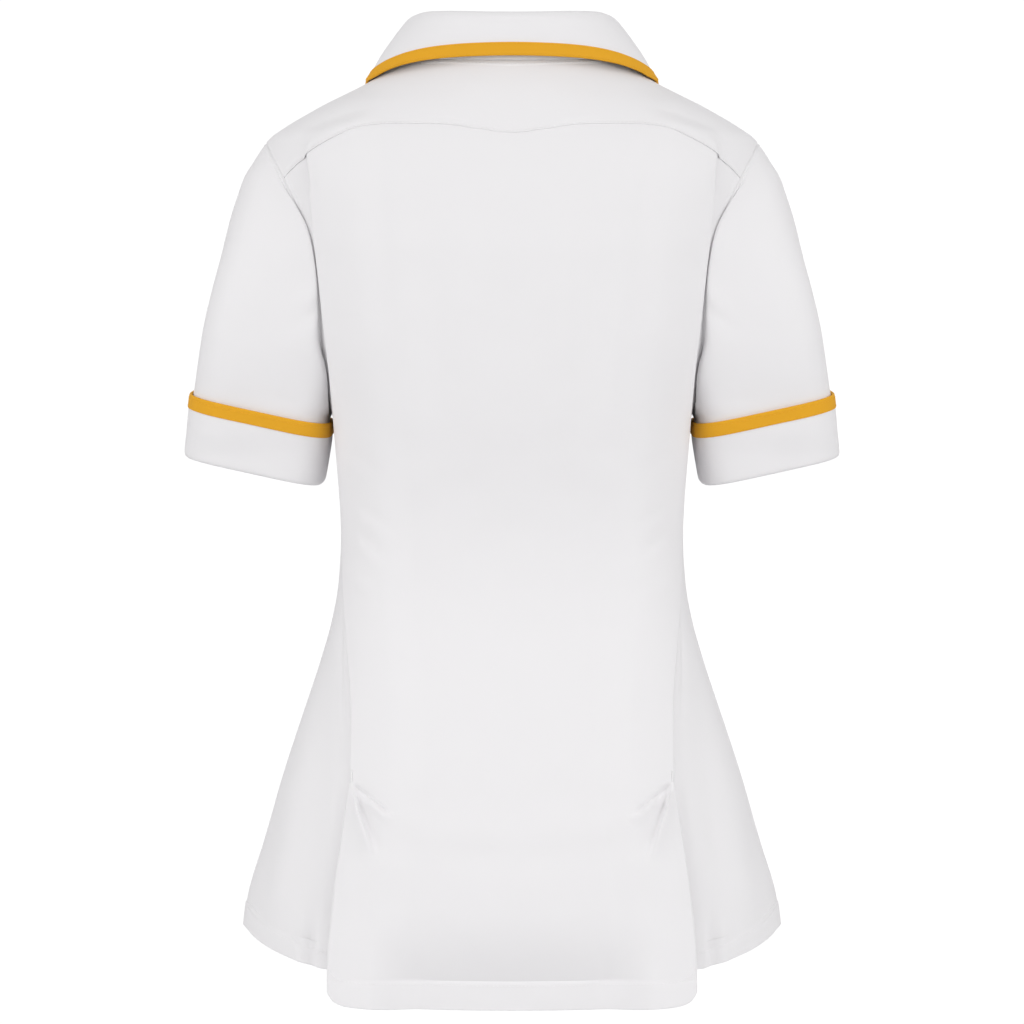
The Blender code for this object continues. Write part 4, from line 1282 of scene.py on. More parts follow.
@dataclass
class SideBack:
    """A side back, from under the pleat to the side seam."""

    rows_in_armhole: tuple[float, ...] = (50.25, 56, 64, 74, 89, 105, 121, 139, 156)
    levels: tuple[float, ...] = (-58, -70, -88, -111, -141, -172, -202, -227, -243, -258,
                                 -284, -312, -340, -368, -396, -424, -454, -484, -516, -548,
                                 -580, -612, -644, -672, -695, -712.5)
    side_seam_turn: float = 0.008
    side_seam_lap: float = 0.9
    hem_out: float = 213.0
    hem_deep: float = 18.0
    under_yoke: float = 3.0
    pleat_depth: float = 28.0
    wall: float = 0.6
    row_count: int = 190
    creases: tuple[Crease, ...] = (
        Crease((129.5, -408), (122.5, -545), -1.8, 1.9, 1.9, bow=3.2, lean=0.3,
               shape=FoldShape.PINCH, swell=0.3, fade=0.15),
        Crease((127.5, -415), (120.5, -547), 0.8, 2.4, 2.0, bow=3.0, swell=0.3, fade=0.1),
        Crease((123.5, -548), (141.5, -700), -4.0, 2.2, 3.4, shape=FoldShape.PINCH,
               swell=0.1, fade=0.02),
        Crease((140, -395), (163, -690), 2.2, 8, 16, bow=-3.0, shape=FoldShape.TROUGH,
               swell=0.4, fade=0.25),
        Crease((142, -470), (184, -688), 2.4, 8, 17, bow=4.0, swell=0.4, fade=0.25),
        Crease((176, -560), (200, -680), 1.4, 7, 12, shape=FoldShape.TROUGH, swell=0.4,
               fade=0.3),
    )

    def outer(self, place: Array) -> tuple[Array, Array]:
        """Return the outer edge, its armhole and then its side seam.

        Args:
            place: Places down the edge, counted in rows of the solid.

        Returns:
            The body angles and heights.
        """
        holes = len(self.rows_in_armhole)
        degrees = np.interp(place, np.arange(holes + 1), (*self.rows_in_armhole, 180.0))
        angle, height = FORM.armhole(degrees)
        bottom = float(FORM.armhole(180.0)[1])
        share = np.clip((place - holes) / (len(self.levels) - holes - 1), 0, 1)
        hem = float(SIDE_HEM_CURVE(self.hem_out))
        seam = bottom + (hem - bottom) * share
        below = place >= holes
        angle = np.where(below, math.pi / 2 + self.side_seam_turn, angle)
        return angle, np.where(below, seam, height)

    def cloth(self) -> Cloth:
        """Return the left side back with its creases."""
        count = len(self.levels)
        place, drop, inner = with_hem(np.linspace(0, count - 1, self.row_count), self.hem_deep)
        level = np.interp(place, np.arange(count), self.levels)[:, None]
        yoke_share = share_at(level, YOKE_SHARE)
        hem_share = share_at(level, HEM_SHARE)
        edge = PLEAT_CURVE(level)
        hidden = edge - np.linspace(self.pleat_depth, LAYER_STEP / 2, 9)[None, :]
        height = level + yoke_share * (YOKE_CURVE(hidden) - SEAM - PANEL_TOP)
        height = height + hem_share * (BACK_HEM_CURVE(hidden) - PANEL_HEM)
        angle = FORM.back_angle(hidden, height, 2 * LAYER_STEP + flare_at(level))
        across = FORM.point(angle, height)[..., 0]
        height = height + hem_share * (SIDE_HEM_CURVE(across) - BACK_HEM_CURVE(across))
        out_angle, out_height = self.outer(place)
        share = np.linspace(0, 1, 40)[None, 1:]
        seen_angle = angle[:, -1:] + (out_angle[:, None] - angle[:, -1:]) * share
        seen_height = height[:, -1:] + (out_height[:, None] - height[:, -1:]) * share
        across = FORM.point(seen_angle, seen_height)[..., 0]
        hem_edge = SIDE_HEM_CURVE(edge)
        straight = hem_edge + (SIDE_HEM_CURVE(self.hem_out) - hem_edge) * share
        seen_height = seen_height + hem_share * (SIDE_HEM_CURVE(across) - straight)
        angle = np.concatenate([angle, seen_angle], axis=1)
        height = np.concatenate([height, seen_height], axis=1)
        height = height - yoke_share * SEAM
        x = FORM.point(angle, height)[..., 0]
        columns = np.arange(x.shape[1])
        from_seam = columns[::-1]
        open_side = ease((columns - 7) / 4.0)
        still = ease(from_seam / 5.0)
        lift = creased(x, height, self.creases) + 0.5 * soft_noise(x, height, 45.0, 21)
        ripple = np.sin(x / 5.0 + 1.1 * np.sin(x / 8.0))
        lift = lift + 2.2 * ripple * ease((-630.0 - height) / 45.0) * ease((180.0 - x) / 30.0)
        hem_line = SIDE_HEM_CURVE(x) + self.hem_deep
        lift = lift + 1.1 * ease((hem_line + 0.8 - height) / 1.6)
        under = ease((3.0 - place) / 3.0)[:, None] * ease(from_seam / 8.0)
        lift = lift * ease(place / 4.0)[:, None] - TUCK * ease(under * 4.0)
        lap = ease((2.5 - from_seam) / 1.5) * ease(place - len(self.rows_in_armhole))[:, None]
        height = height - drop + self.under_yoke * under
        lift = lift * open_side * still - self.side_seam_lap * lap
        points = FORM.at(angle, height, inner + lift)
        cloth = Cloth("side_back_left_cloth", points, self.wall, outward=-1)
        cloth.mark_seams(np.maximum(bell(height - hem_line, 5.0), bell(from_seam, 3.0)))
        return cloth

    def build(self, room: Workroom) -> None:
        """Build both side backs and the stitches of their hems."""
        left = self.cloth()
        right = left.mirrored("side_back_right_cloth")
        for cloth, suffix in ((left, "left"), (right, "right")):
            room.cloth(cloth, f"side_back_{suffix}", (0.19, 0.64), 0.066)
            thread = Thread(f"side_back_{suffix}_stitches")
            rise = self.hem_deep / 3.45
            thread.sew_line(cloth, slice(10, None), row=self.row_count - 1 - rise)
            room.thread(thread)


@dataclass
class Yoke:
    """The yoke, from its shaped lower edge over the shoulders to the front."""

    corner: float = 170.0
    corner_degrees: float = 50.0
    front_degrees: float = -16.0
    seam_columns: int = 59
    neck_columns: int = 46
    neck_angle_at_corner: float = 64.0
    front_seam_angle: float = 100.0
    pleat_across: float = 155.0
    band_rise: float = 0.45
    wall: float = 0.6
    creases: tuple[Crease, ...] = (
        Crease((20, -8), (46, -40), 0.6, 6, 9, swell=0.4, fade=0.4),
        Crease((140, -30), (160, -78), 1.0, 6, 9, shape=FoldShape.TROUGH, swell=0.4, fade=0.4),
        Crease((110, -14), (150, -52), 0.8, 7, 10, swell=0.4, fade=0.4),
    )

    def half(self) -> Array:
        """Return the left half's points, centre line first."""
        across = np.linspace(0, self.pleat_across, 54)
        lower_height = YOKE_CURVE(across)
        lower_angle = FORM.back_angle(across, lower_height)
        upper_angle = np.radians(self.neck_angle_at_corner) * across / self.corner
        corner_angle, corner_height = FORM.armhole(self.corner_degrees)
        step = np.linspace(0, 1, 8)[1:-1]
        lower_angle = np.append(lower_angle, lower_angle[-1]
                                + (corner_angle - lower_angle[-1]) * step)
        lower_height = np.append(lower_height, lower_height[-1]
                                 + (corner_height - lower_height[-1]) * step)
        start = upper_angle[-1]
        upper_angle = np.append(upper_angle, start + (math.radians(self.neck_angle_at_corner)
                                                      - start) * step)
        degrees = np.linspace(self.corner_degrees, self.front_degrees, 34)
        share = np.interp(-degrees, [-50, -34, -17, 0, 16], [0, 0.25, 0.5, 0.75, 1])
        hole_angle, hole_height = FORM.armhole(degrees)
        lower_angle = np.append(lower_angle, hole_angle)
        lower_height = np.append(lower_height, hole_height)
        turn = self.neck_angle_at_corner + (self.front_seam_angle
                                            - self.neck_angle_at_corner) * share
        upper_angle = np.append(upper_angle, np.radians(turn))
        upper_height = FORM.neck_height(upper_angle)
        neck_height, neck_across = NECK_FRONT[-1]
        end_angle = float(FORM.front_angle(neck_across, neck_height))
        late = ease((share - 0.55) / 0.45)
        late = np.append(np.zeros(len(upper_angle) - len(late)), late)
        upper_angle = upper_angle + late * (end_angle - upper_angle[-1])
        upper_height = upper_height + late * (neck_height - upper_height[-1])
        rows = np.concatenate([np.linspace(1, 0.9, 14)[:-1], np.linspace(0.9, 0.12, 30)[:-1],
                               np.linspace(0.12, 0, 10)])[:, None]
        angle = lower_angle[None, :] + (upper_angle - lower_angle)[None, :] * rows
        height = lower_height[None, :] + (upper_height - lower_height)[None, :] * rows
        columns = np.arange(angle.shape[1])
        x = FORM.point(angle, height)[..., 0]
        plain = ease((61.0 - columns) / 4.0)[None, :]
        over_pleat = 2 * LAYER_STEP * ease((x - 98.0) / 28.0) * ease((158.5 - x) / 3.0)
        lift = (0.05 + over_pleat) * plain * ease((0.36 - rows) / 0.28)
        lift = lift + 0.3 * bell(rows - 0.01, 0.013) * plain
        lift = lift - 0.3 * bell(rows - 0.04, 0.014) * plain
        band = ease((rows - 0.927) / 0.012) * ease((0.998 - rows) / 0.01)
        lift = lift + self.band_rise * band * ease((48.0 - columns) / 8.0)[None, :]
        still = ease(rows / 0.1) * ease((1 - rows) / 0.1)
        sides = ease((len(columns) - 1 - columns) / 4.0)[None, :]
        crease = creased(x, height, self.creases)
        crease = crease + 0.45 * soft_noise(x, 1.6 * height, 38.0, 31)
        return FORM.at(angle, height, lift + crease * still * sides)

    def cloth(self) -> Cloth:
        """Return the whole yoke with its creases."""
        points = both_halves(self.half())
        cloth = Cloth("yoke_cloth", points, self.wall, outward=-1)
        rows = np.arange(len(points))[:, None]
        cloth.mark_seams(np.maximum(bell(len(points) - 1 - rows, 3.5), bell(rows, 9.0)))
        return cloth

    def build(self, room: Workroom) -> None:
        """Build the yoke and the stitches along its lower edge."""
        cloth = self.cloth()
        room.cloth(cloth, "yoke", (0.44, 0.17), 0.045)
        thread = Thread("yoke_stitches")
        last = len(cloth.points) - 1
        middle = cloth.points.shape[1] // 2
        for row, count in ((last - 1.1, self.seam_columns), (7.2, self.neck_columns)):
            thread.sew_line(cloth, slice(middle - count, middle + count + 1), row=row)
        room.thread(thread)


@dataclass
class Front:
    """A front, from its neck edge and centre edge out to the armhole and side seam."""

    hole_degrees: tuple[float, ...] = (-16, -34, -52, -70, -88, -106, -124, -142, -161, -180)
    seam_rows: int = 15
    hem_out: float = 213.0
    side_seam_turn: float = 0.0024
    hem_deep: float = 18.0
    row_count: int = 200
    column_count: int = 64
    wall: float = 0.6
    creases: tuple[Crease, ...] = (
        Crease((150, -215), (95, -170), 1.6, 7, 13, swell=0.2, fade=0.6),
        Crease((148, -232), (88, -205), 1.2, 6, 12, shape=FoldShape.TROUGH, swell=0.2,
               fade=0.6),
        Crease((128, -352), (78, -330), 1.3, 5, 12, swell=0.2, fade=0.6),
        Crease((128, -372), (70, -372), 1.2, 5, 11, shape=FoldShape.TROUGH, swell=0.2,
               fade=0.6),
        Crease((60, -300), (74, -650), 1.8, 12, 22, bow=5.0, swell=0.5, fade=0.4),
        Crease((110, -400), (140, -680), 2.4, 10, 20, bow=-4.0, shape=FoldShape.TROUGH,
               swell=0.4, fade=0.3),
        Crease((140, -470), (178, -685), 2.4, 8, 17, bow=4.0, swell=0.4, fade=0.3),
    )

    def cloth(self, side: Side) -> Cloth:
        """Return a front with its creases; the right one laps over the left."""
        holes = len(self.hole_degrees) - 1
        last = holes + self.seam_rows - 1
        place, drop, inner = with_hem(np.linspace(0, last, self.row_count), self.hem_deep)
        degrees = np.interp(place, np.arange(holes + 1), self.hole_degrees)
        out_angle, out_height = FORM.armhole(degrees)
        bottom = float(FORM.armhole(180.0)[1])
        share = np.clip((place - holes) / (self.seam_rows - 1), 0, 1)
        hem = float(SIDE_HEM_CURVE(self.hem_out))
        below = place >= holes
        out_angle = np.where(below, math.pi / 2 + self.side_seam_turn, out_angle)
        out_height = np.where(below, bottom + (hem - bottom) * share, out_height)
        heights = list(FRONT_LEVELS)
        rest = last + 1 - len(heights)
        drop_each = (float(SIDE_HEM_CURVE(100.0)) - FRONT_LEVELS[-1]) / rest
        heights += [FRONT_LEVELS[-1] + drop_each * step for step in range(1, rest + 1)]
        in_height = np.interp(place, np.arange(last + 1), heights)
        in_angle = FORM.front_angle(NECK_CURVE(in_height), in_height)
        column = np.linspace(0, 1, self.column_count)[None, :]
        angle = out_angle[:, None] + (in_angle - out_angle)[:, None] * column
        height = out_height[:, None] + (in_height - out_height)[:, None] * column
        angle = angle + 1.4 * SEAM / 100.0 * ease(1 - place)[:, None]
        x = np.abs(FORM.point(angle, height)[..., 0])
        share = ease((place - last + 2.0) / 2.0)[:, None]
        height = height + share * (SIDE_HEM_CURVE(x) - height[self.row_count - 1])
        lift = overlap_at(side, x, height) + inner
        columns = np.arange(self.column_count)
        still = ease(columns / 6.0) * ease((self.column_count - 1 - columns) / 9.0)
        under = ease((np.abs(x) - 14.0) / 30.0) if side is Side.LEFT else 1.0
        top = ease(np.arange(len(height)) / 5.0)[:, None]
        seed = 41 if side is Side.LEFT else 43
        moved = creased(x, height, self.creases) + 0.5 * soft_noise(x, height, 50.0, seed)
        lift = lift + moved * still[None, :] * top * under
        points = on_side(FORM.at(angle, height - drop, lift), side)
        name = f"front_{side.name.lower()}_cloth"
        cloth = Cloth(name, points, self.wall, outward=-side.value)
        hem = bell(height - drop - SIDE_HEM_CURVE(x) - self.hem_deep, 5.0)
        edges = np.maximum(bell(columns, 3.0), bell(self.column_count - 1 - columns, 3.0))
        cloth.mark_seams(np.maximum(hem, edges))
        return cloth

    def build(self, room: Workroom) -> None:
        """Build both fronts, with the stitches of their hems and front edges."""
        for side in Side:
            cloth = self.cloth(side)
            suffix = side.name.lower()
            room.cloth(cloth, f"front_{suffix}", (0.25, 0.71), 0.162)
            thread = Thread(f"front_{suffix}_stitches")
            rise = self.hem_deep / 2.3
            thread.sew_line(cloth, slice(2, None), row=self.row_count - 1 - rise)
            if side is Side.RIGHT:
                for inset in (2.2, 10.5):
                    path, normals = face_path(cloth, column=self.column_count - 1 - inset)
                    keep = path[:, 2] < -150.0
                    keep[self.row_count - 1:] = False
                    thread.sew(path[keep], normals[keep])
            room.thread(thread)


@dataclass
class Lapel:
    """A front's neck edge, turned back on the front as a lapel."""

    roll_top: float = -39.5
    roll_bottom: float = -124.0
    puff: float = 1.2
    row_count: int = 44
    roll_columns: int = 9
    flat_columns: int = 33
    wall: float = 0.9

    def cloth(self, side: Side) -> Cloth:
        """Return a lapel, from its roll at the neck edge out to its free edge."""
        share = np.linspace(0, 1, self.row_count)[:, None]
        height = self.roll_top + (self.roll_bottom - self.roll_top) * share
        edge = NECK_CURVE(height)
        low, high = LAPEL_OUTER[0][0], LAPEL_OUTER[-1][0]
        outer_x = high + (low - high) * share
        outer_z = LAPEL_CURVE(outer_x)
        turn = np.radians(np.linspace(0, 180, self.roll_columns))
        part = np.linspace(0, 1, self.flat_columns + 1)[1:]
        across = np.concatenate([edge + -1.3 * np.sin(turn) + 0.5,
                                 edge + 0.9 + (outer_x - edge - 0.9) * part], axis=1)
        level = height + (outer_z - height) * np.append(np.zeros(self.roll_columns), part)
        lift = np.append(1.4 - 1.5 * np.cos(turn), 2.9 + self.puff * np.sin(math.pi * part))
        lift = lift + overlap_at(side, across, level)
        points = on_side(FORM.at(FORM.front_angle(across, level), level, lift), side)
        name = f"lapel_{side.name.lower()}_cloth"
        cloth = Cloth(name, points, self.wall, outward=side.value, rounded=0.25)
        columns = np.arange(points.shape[1])
        cloth.mark_seams(bell(len(columns) - 4 - columns, 3.0))
        return cloth

    def build(self, room: Workroom) -> None:
        """Build both lapels and the stitches along their edges."""
        for side in Side:
            cloth = self.cloth(side)
            suffix = side.name.lower()
            room.cloth(cloth, f"lapel_{suffix}", (0.075, 0.09), 0.0045, held="folded")
            thread = Thread(f"lapel_{suffix}_stitches")
            thread.sew_line(cloth, slice(1, -1), column=cloth.points.shape[1] - 4.0)
            room.thread(thread)


@dataclass
class Collar:
    """The collar: its stand, roll and leaf, and the tape that binds the leaf's edge."""

    stand_high: float = 34.2
    stand_foot: float = 0.7
    stand_foot_side: float = 1.1
    low_stand: float = 0.035
    stand_lean: float = 1.5
    stand_hollow: float = 0.8
    roll_radius: float = 4.6
    roll_radius_front: float = 1.3
    leaf_bulge: float = 1.2
    side_bulge: float = 1.1
    leaf_back: float = 65.0
    leaf_side: float = 112.5
    leaf_back_rise: float = 4.2
    leaf_side_drop: float = 13.6
    tape_wide: float = 10.0
    rows_each: int = 8
    columns_each: int = 6
    wall: float = 1.3
    tape_wall: float = 0.6

    def stations(self) -> list[tuple[float, float, float]]:
        """Return places along the left neck seam, with the stand's share of its height."""
        places = [(math.radians(turn), float(FORM.neck_height(math.radians(turn))), tall)
                  for turn, tall in COLLAR_BACK]
        side = COLLAR_BACK[-1][1]
        for index, height in enumerate(COLLAR_FRONT_HEIGHTS):
            angle = float(FORM.front_angle(NECK_CURVE(height), height))
            share = (index + 1) / len(COLLAR_FRONT_HEIGHTS)
            places.append((angle, height, side + (self.low_stand - side) * share))
        return places

    def leaf_edge(self, index: int, angle: float) -> Array:
        """Return the leaf's outer edge beside a place on the neck seam."""
        if index >= len(COLLAR_BACK) - 1:
            return np.array(COLLAR_LEAF_FRONT[index - len(COLLAR_BACK) + 1])
        turn = angle * 0.985
        sine = math.sin(turn)
        drop = 0.85 * abs(sine) ** 4.5 + 0.15 * abs(sine) ** 1.5
        height = self.leaf_back_rise - self.leaf_side_drop * drop
        return np.array((self.leaf_side * sine, self.leaf_back * math.cos(turn), height))

    def coarse_half(self) -> Array:
        """Return the left half's coarse columns: stand, roll and leaf at each station."""
        stations = self.stations()
        up = np.array((0.0, 0.0, 1.0))
        columns = []
        for index, (angle, height, tall) in enumerate(stations):
            seam = FORM.point(angle, height)
            after = stations[min(index + 1, len(stations) - 1)]
            before = stations[max(index - 1, 0)]
            along = unit(FORM.point(*after[:2]) - FORM.point(*before[:2]))
            if index == 0:
                along = np.array((1.0, 0.0, 0.0))
            outward = FORM.normal(angle, height)
            inward = unit(np.cross(along, outward))
            if inward[2] < 0:
                inward = -inward
            at_side = math.sin(min(angle, math.pi / 2)) ** 2
            foot = seam + inward * (self.stand_foot
                                    + (self.stand_foot_side - self.stand_foot) * at_side)
            level_out = unit(np.array((outward[0], outward[1], 0.0)))
            radius = self.roll_radius_front + (self.roll_radius
                                               - self.roll_radius_front) * tall
            top = foot + up * self.stand_high * tall - level_out * self.stand_lean * tall
            edge = self.leaf_edge(index, angle)
            shoulder = top + level_out * 2.0 * radius - up * 0.6 * radius
            tape_start = edge - unit(edge - shoulder) * self.tape_wide
            column = [foot, (foot + top) / 2 - level_out * self.stand_hollow * tall,
                      top - up * 0.5 * radius,
                      top + level_out * 0.9 * radius + up * 0.35 * radius, shoulder]
            for part in (0.33, 0.67, 1.0):
                bulge = level_out * self.leaf_bulge * (1 + self.side_bulge * at_side)
                bulge = bulge * math.sin(math.pi * part * 0.8)
                column.append(shoulder + (tape_start - shoulder) * part + bulge)
            column.append(edge)
            points = np.array(column)
            points[4:] = FORM.pushed_out(points[4:], LYING_LIFT)
            columns.append(points)
        return np.array(columns).swapaxes(0, 1)

    def cloth(self) -> Cloth:
        """Return the whole collar."""
        coarse = both_halves(self.coarse_half())
        points = refined(coarse, (len(coarse) - 1) * self.rows_each + 1,
                         (coarse.shape[1] - 1) * self.columns_each + 1)
        cloth = Cloth("collar_cloth", points, self.wall, outward=-1, rounded=0.3)
        rows = np.arange(len(points))[:, None]
        free = ease((rows - 30) / 10.0) * ease((len(points) - 1 - rows) / 14.0)
        cloth.lift(0.4 * soft_noise(np.abs(points[..., 0]), points[..., 2], 30.0, 51) * free)
        cloth.mark_seams(np.maximum(bell(len(points) - 9 - rows, 4.0), bell(rows, 4.0)))
        return cloth

    def tape(self, cloth: Cloth) -> Cloth:
        """Return the tape, folded over the leaf's edge."""
        away = self.wall / 2 + 0.1 + self.tape_wall / 2
        normals = cloth.normals()
        outer = cloth.points + normals * away
        inner = cloth.points - normals * away
        down = unit(cloth.points[-1] - cloth.points[-2])
        over = [cloth.points[-1] + normals[-1] * away * math.cos(turn)
                + down * away * math.sin(turn)
                for turn in np.radians((25, 50, 75, 90, 105, 130, 155))]
        points = np.concatenate([outer[-8:], np.array(over), inner[-1:-4:-1]])
        return Cloth("collar_tape_cloth", points, self.tape_wall, Slot.YELLOW, outward=-1,
                     rounded=0.15)

    def build(self, room: Workroom) -> None:
        """Build the collar, its tape and their stitches."""
        cloth = self.cloth()
        room.cloth(cloth, "collar", (0.50, 0.10), 0.038, held="folded")
        tape = self.tape(cloth)
        room.cloth(tape, "collar_tape", (0.47, 0.016), 0.0068, held="folded")
        thread = Thread("collar_stitches")
        thread.sew_line(cloth, slice(18, -18), row=1.0)
        room.thread(thread)
        edge = Thread("collar_tape_stitches", Slot.YELLOW)
        for row in (0.9, 6.3):
            edge.sew_line(tape, row=row, proud=0.05)
        room.thread(edge)


@dataclass
class Sleeve:
    """A short sleeve with its turned-back cuff and the tape on the cuff's top edge."""

    cuff_deep: float = 49.0
    clear: float = 2.5
    lip: tuple[float, float, float] = (-6.0, 5.0, 0.0)
    lip_at: float = 74.0
    end_above: float = 1.9
    head_turn: float = 28.0
    tape_wide: float = 10.0
    wall: float = 0.6
    cuff_wall: float = 0.9
    tape_wall: float = 0.6
    ring_count: int = 121
    row_count: int = 84
    creases: tuple[Crease, ...] = (
        Crease((66, -115), (96, -160), 2.2, 4, 9, swell=0.2, fade=0.6),
        Crease((60, -100), (88, -132), 1.6, 4, 8, shape=FoldShape.TROUGH, swell=0.2, fade=0.6),
        Crease((118, -150), (92, -196), 2.2, 3, 7, swell=0.2, fade=0.6),
        Crease((120, -172), (90, -214), 1.8, 3, 8, shape=FoldShape.TROUGH, swell=0.2,
               fade=0.6),
        Crease((30, -120), (22, -250), 1.2, 9, 15, bow=3.0, swell=0.4, fade=0.5),
        Crease((-60, -120), (-92, -165), 1.5, 4, 9, swell=0.2, fade=0.6),
        Crease((-125, -180), (-90, -225), 1.6, 5, 11, swell=0.2, fade=0.6),
        Crease((-30, -140), (-18, -255), 1.2, 9, 15, shape=FoldShape.TROUGH, swell=0.4,
               fade=0.5),
    )

    def ring(self) -> Array:
        """Return the degrees of the columns round the sleeve, from 180 to -180."""
        return np.linspace(180, -180, self.ring_count)

    def sleeve_points(self) -> Array:
        """Return the rings of the left sleeve, from the armhole to the hem."""
        degrees = self.ring()
        point, inward, outward = FORM.armhole_frame(degrees)
        turn = np.radians(degrees + self.head_turn * np.sin(np.radians(degrees)))
        turned = ease((np.abs(degrees) - 40.0) / 90.0)[:, None]
        first = point + (0.4 + 0.6 * turned) * inward + 0.1 * turned * outward
        second = point + (3.0 - 1.6 * turned) * inward + (0.6 + 1.3 * turned) * outward
        groove = first - 0.5 * outward
        middle = first * 0.5 + second * 0.5 + 0.5 * outward
        rows = [groove, middle]
        target = np.radians(degrees)
        end = FORM.sleeve_hem_height(target, self.cuff_deep)
        height = point[:, 2]
        away = second - FORM.sleeve_point(turn, height)
        for share in np.linspace(0, 1, self.row_count):
            angle = turn + (target - turn) * share
            level = height + (end - height) * share
            row = FORM.sleeve_point(angle, level) + away * (1 - ease(share * 1.3))
            lower = (np.abs(degrees) > 100)[:, None]
            row = np.where(lower, FORM.pushed_out(row, self.clear), row)
            near = np.exp(-((degrees - self.lip_at) / 24.0) ** 2) * math.exp(-(share / 0.16) ** 2)
            rows.append(row + near[:, None] * np.array(self.lip) * ease(share / 0.03))
        for above in np.linspace(self.cuff_deep, self.end_above, 9)[1:]:
            rows.append(FORM.sleeve_point(target, FORM.sleeve_hem_height(target, above)))
        return np.array(rows)

    def cuff_heights(self) -> Array:
        """Return the heights above the hem of the cuff's upper rings, up to its top."""
        even = np.linspace(4.0, self.cuff_deep - 3, 24)
        return np.append(even, (self.cuff_deep - 1.5, self.cuff_deep))

    def cuff_points(self) -> Array:
        """Return the rings of the left cuff, from inside its lower edge to its top."""
        target = np.radians(self.ring())
        profile = [(3.0, -0.75), (1.2, -0.75), (0.35, -0.45), (0.0, 0.3), (0.0, 1.2),
                   (0.6, 1.9), (2.0, 2.25)]
        heights = self.cuff_heights()
        profile += zip(heights, [2.4] * (len(heights) - 2) + [2.3, 2.2])
        rows = [FORM.sleeve_point(target, FORM.sleeve_hem_height(target, above), lift)
                for above, lift in profile]
        return np.array(rows)

    def against_body(self) -> Array:
        """Return how far each column faces the body, from 0 to 1."""
        return ease((np.abs(self.ring()) - 115) / 30.0)

    def sleeve(self) -> Cloth:
        """Return the left sleeve with its creases."""
        points = self.sleeve_points()
        sleeve = Cloth("sleeve_left_cloth", points, self.wall, ring=True, outward=-1)
        degrees = np.broadcast_to(self.ring(), points.shape[:2])
        around = np.radians(degrees)
        z = points[..., 2]
        rows = np.arange(len(points))[:, None]
        free = ease((rows - 2) / 14.0) * ease((len(points) - 12 - rows) / 10.0)
        lift = creased(degrees, z, self.creases)
        lift += 0.6 * soft_noise(60 * np.sin(around), z + 60 * np.cos(around), 42.0, 61)
        sleeve.lift(lift * free * (1 - 0.8 * self.against_body()))
        sleeve.mark_seams(bell(rows - 2, 5.0))
        return sleeve

    def cuff(self) -> Cloth:
        """Return the left cuff."""
        points = self.cuff_points()
        cuff = Cloth("cuff_left_cloth", points, self.cuff_wall, ring=True, rounded=0.2)
        rows = np.arange(len(points))[:, None]
        free = ease((rows - 6) / 8.0) * ease((len(points) - 1 - rows) / 8.0)
        cuff.lift(0.5 * soft_noise(self.ring(), points[..., 2], 30.0, 71) * free
                  * (1 - 0.7 * self.against_body()))
        cuff.mark_seams(bell(len(points) - 8 - rows, 3.0))
        return cuff

    def tape(self, cuff: Cloth) -> Cloth:
        """Return the tape that binds the cuff's top edge, made from the cuff's rings."""
        away = self.cuff_wall / 2 + 0.1 + self.tape_wall / 2
        normals = cuff.normals()
        heights = (np.linspace(0, 1, 9) * self.tape_wide)[::-1]
        above = self.cuff_heights()
        grid = cuff.points[-len(above):]
        outs = normals[-len(above):]
        rows = []
        for down in heights:
            at = self.cuff_deep - down
            index = min(int(np.searchsorted(above, at, side="right")) - 1, len(above) - 2)
            share = (at - above[index]) / (above[index + 1] - above[index])
            middle = grid[index] * (1 - share) + grid[index + 1] * share
            out = unit(outs[index] * (1 - share) + outs[index + 1] * share)
            rows.append(middle + out * away)
        up = unit(grid[-1] - grid[-2])
        for turn in np.radians((30, 60, 90, 120, 150)):
            rows.append(grid[-1] + outs[-1] * away * math.cos(turn) + up * away * math.sin(turn))
        for down in (0.0, 1.5, 3.0):
            rows.append(grid[-1] - outs[-1] * away - up * down)
        return Cloth("cuff_tape_left_cloth", np.array(rows), self.tape_wall, Slot.YELLOW,
                     ring=True, rounded=0.15)

    def build(self, room: Workroom) -> None:
        """Build both sleeves, their cuffs, their tapes and the stitches."""
        sleeve = self.sleeve()
        cuff = self.cuff()
        tape = self.tape(cuff)
        for side in Side:
            suffix = side.name.lower()
            for cloth, node, flat, area in (
                    (sleeve, "sleeve", (0.40, 0.27), 0.088),
                    (cuff, "cuff", (0.35, 0.056), 0.0186),
                    (tape, "cuff_tape", (0.36, 0.0145), 0.0051)):
                name = f"{node}_{suffix}_cloth"
                made = cloth if side is Side.LEFT else cloth.mirrored(name)
                room.cloth(made, f"{node}_{suffix}", flat, area, held="folded")
            thread = Thread(f"cuff_tape_{suffix}_stitches", Slot.YELLOW)
            for row in (1.0, 6.4):
                thread.sew_line(made, row=row, proud=0.05)
            room.thread(thread)


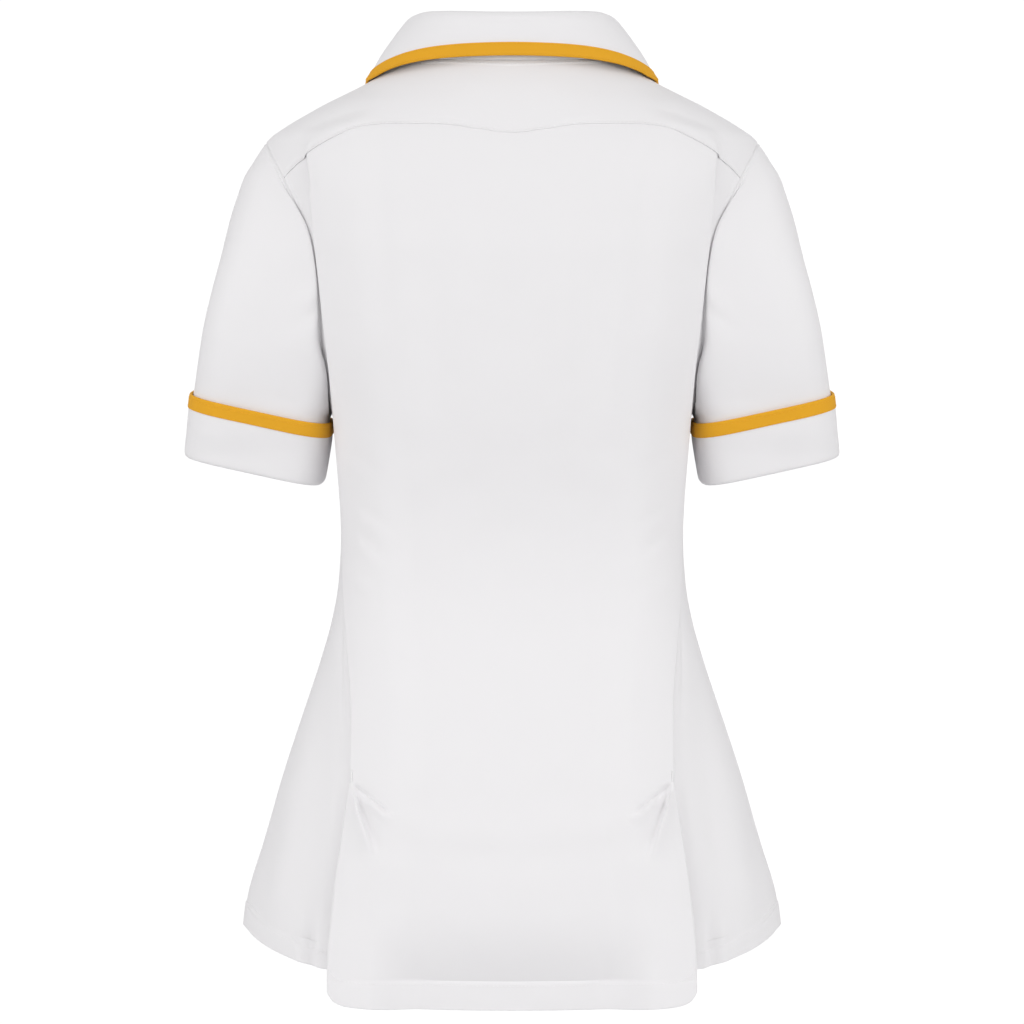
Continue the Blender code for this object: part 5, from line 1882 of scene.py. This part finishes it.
@dataclass(frozen=True)
class Studio:
    """The floor, the light and the camera."""

    camera_distance: float = 2.6
    camera_height: float = -0.3449
    lens: float = 117.0
    floor_height: float = -1.45
    floor_radius: float = 1.3
    lamps_aim: float = -0.35
    surround: float = 1.05
    light_from_below: float = 0.255
    light_from_above: float = 0.54

    def build(self) -> None:
        """Set up the whole studio."""
        self.floor()
        self.light()
        self.camera()

    def floor(self) -> None:
        """Lay a plain pale floor where a wearer would stand."""
        bpy.ops.object.select_all(action="DESELECT")
        bpy.ops.mesh.primitive_circle_add(vertices=96, radius=self.floor_radius, fill_type="NGON",
                                          location=(0, 0, self.floor_height))
        floor = bpy.context.object
        floor.name = "floor"
        material, shader = new_material("pale_floor")
        give(shader, {"Base Color": (0.86, 0.86, 0.87, 1.0), "Roughness": 0.8})
        floor.data.materials.append(material)

    def lamp(self, name: str, place: tuple[float, float, float], size: float,
             power: float) -> None:
        """Hang a square soft light that faces the middle of the tunic."""
        data = bpy.data.lights.new(name, "AREA")
        data.size = size
        data.energy = power
        lamp = bpy.data.objects.new(name, data)
        lamp.location = place
        aim = Vector((0.0, 0.0, self.lamps_aim)) - Vector(place)
        lamp.rotation_euler = aim.to_track_quat("-Z", "Y").to_euler()
        bpy.context.scene.collection.objects.link(lamp)

    def light(self) -> None:
        """Set a white surround, soft lights round the camera and one at the front."""
        world = bpy.data.worlds.new("white_surround")
        bpy.context.scene.world = world
        world.use_nodes = True
        nodes = world.node_tree.nodes
        link = world.node_tree.links.new
        seen = nodes["Background"]
        white = (1.0, 1.0, 1.0, 1.0)
        give(seen, {"Color": white, "Strength": self.surround})
        lit = nodes.new("ShaderNodeBackground")
        give(lit, {"Color": white})
        way = nodes.new("ShaderNodeTexCoord")
        parts = nodes.new("ShaderNodeSeparateXYZ")
        link(way.outputs["Generated"], parts.inputs[0])
        sky = nodes.new("ShaderNodeMapRange")
        give(sky, {"From Min": -0.5, "From Max": 0.5, "To Min": self.light_from_below,
                   "To Max": self.light_from_above})
        link(parts.outputs[2], sky.inputs["Value"])
        link(sky.outputs[0], lit.inputs["Strength"])
        path = nodes.new("ShaderNodeLightPath")
        mix = nodes.new("ShaderNodeMixShader")
        link(path.outputs["Is Camera Ray"], mix.inputs[0])
        link(lit.outputs[0], mix.inputs[1])
        link(seen.outputs[0], mix.inputs[2])
        link(mix.outputs[0], nodes["World Output"].inputs["Surface"])
        self.lamp("key_left", (1.2, 2.0, 1.7), 1.4, 8.0)
        self.lamp("key_right", (-1.2, 2.0, 1.7), 1.4, 8.0)
        self.lamp("by_the_camera", (0.0, 3.0, -0.1), 0.8, 4.5)
        self.lamp("beside_left", (2.05, 1.95, -0.1), 1.2, 20.0)
        self.lamp("beside_right", (-2.05, 1.95, -0.1), 1.2, 20.0)
        self.lamp("side_left", (2.6, 0.7, -0.2), 1.4, 9.0)
        self.lamp("side_right", (-2.6, 0.7, -0.2), 1.4, 9.0)
        self.lamp("front_fill", (0.0, -2.6, 0.5), 2.0, 24.0)
        bpy.context.scene.view_settings.view_transform = "Standard"

    def camera(self) -> None:
        """Place the camera straight behind the wearer."""
        data = bpy.data.cameras.new("camera")
        data.lens = self.lens
        data.sensor_width = 36.0
        data.clip_start = 0.05
        data.clip_end = 50.0
        camera = bpy.data.objects.new("camera", data)
        camera.location = (0.0, self.camera_distance, self.camera_height)
        camera.rotation_euler = (math.pi / 2, 0.0, math.pi)
        bpy.context.scene.collection.objects.link(camera)
        bpy.context.scene.camera = camera


def main() -> None:
    """Build the studio and every part of the tunic in order."""
    logging.basicConfig(level=logging.INFO, format="%(name)s: %(message)s")
    Studio().build()
    room = Workroom()
    for part in (BackPanel(), SideBack(), Yoke(), Front(), Lapel(), Collar(), Sleeve()):
        part.build(room)
    LOG.info("%d pieces, %d triangles", len(room.made), sum(map(triangle_count, room.made)))


if __name__ == "__main__":
    main()
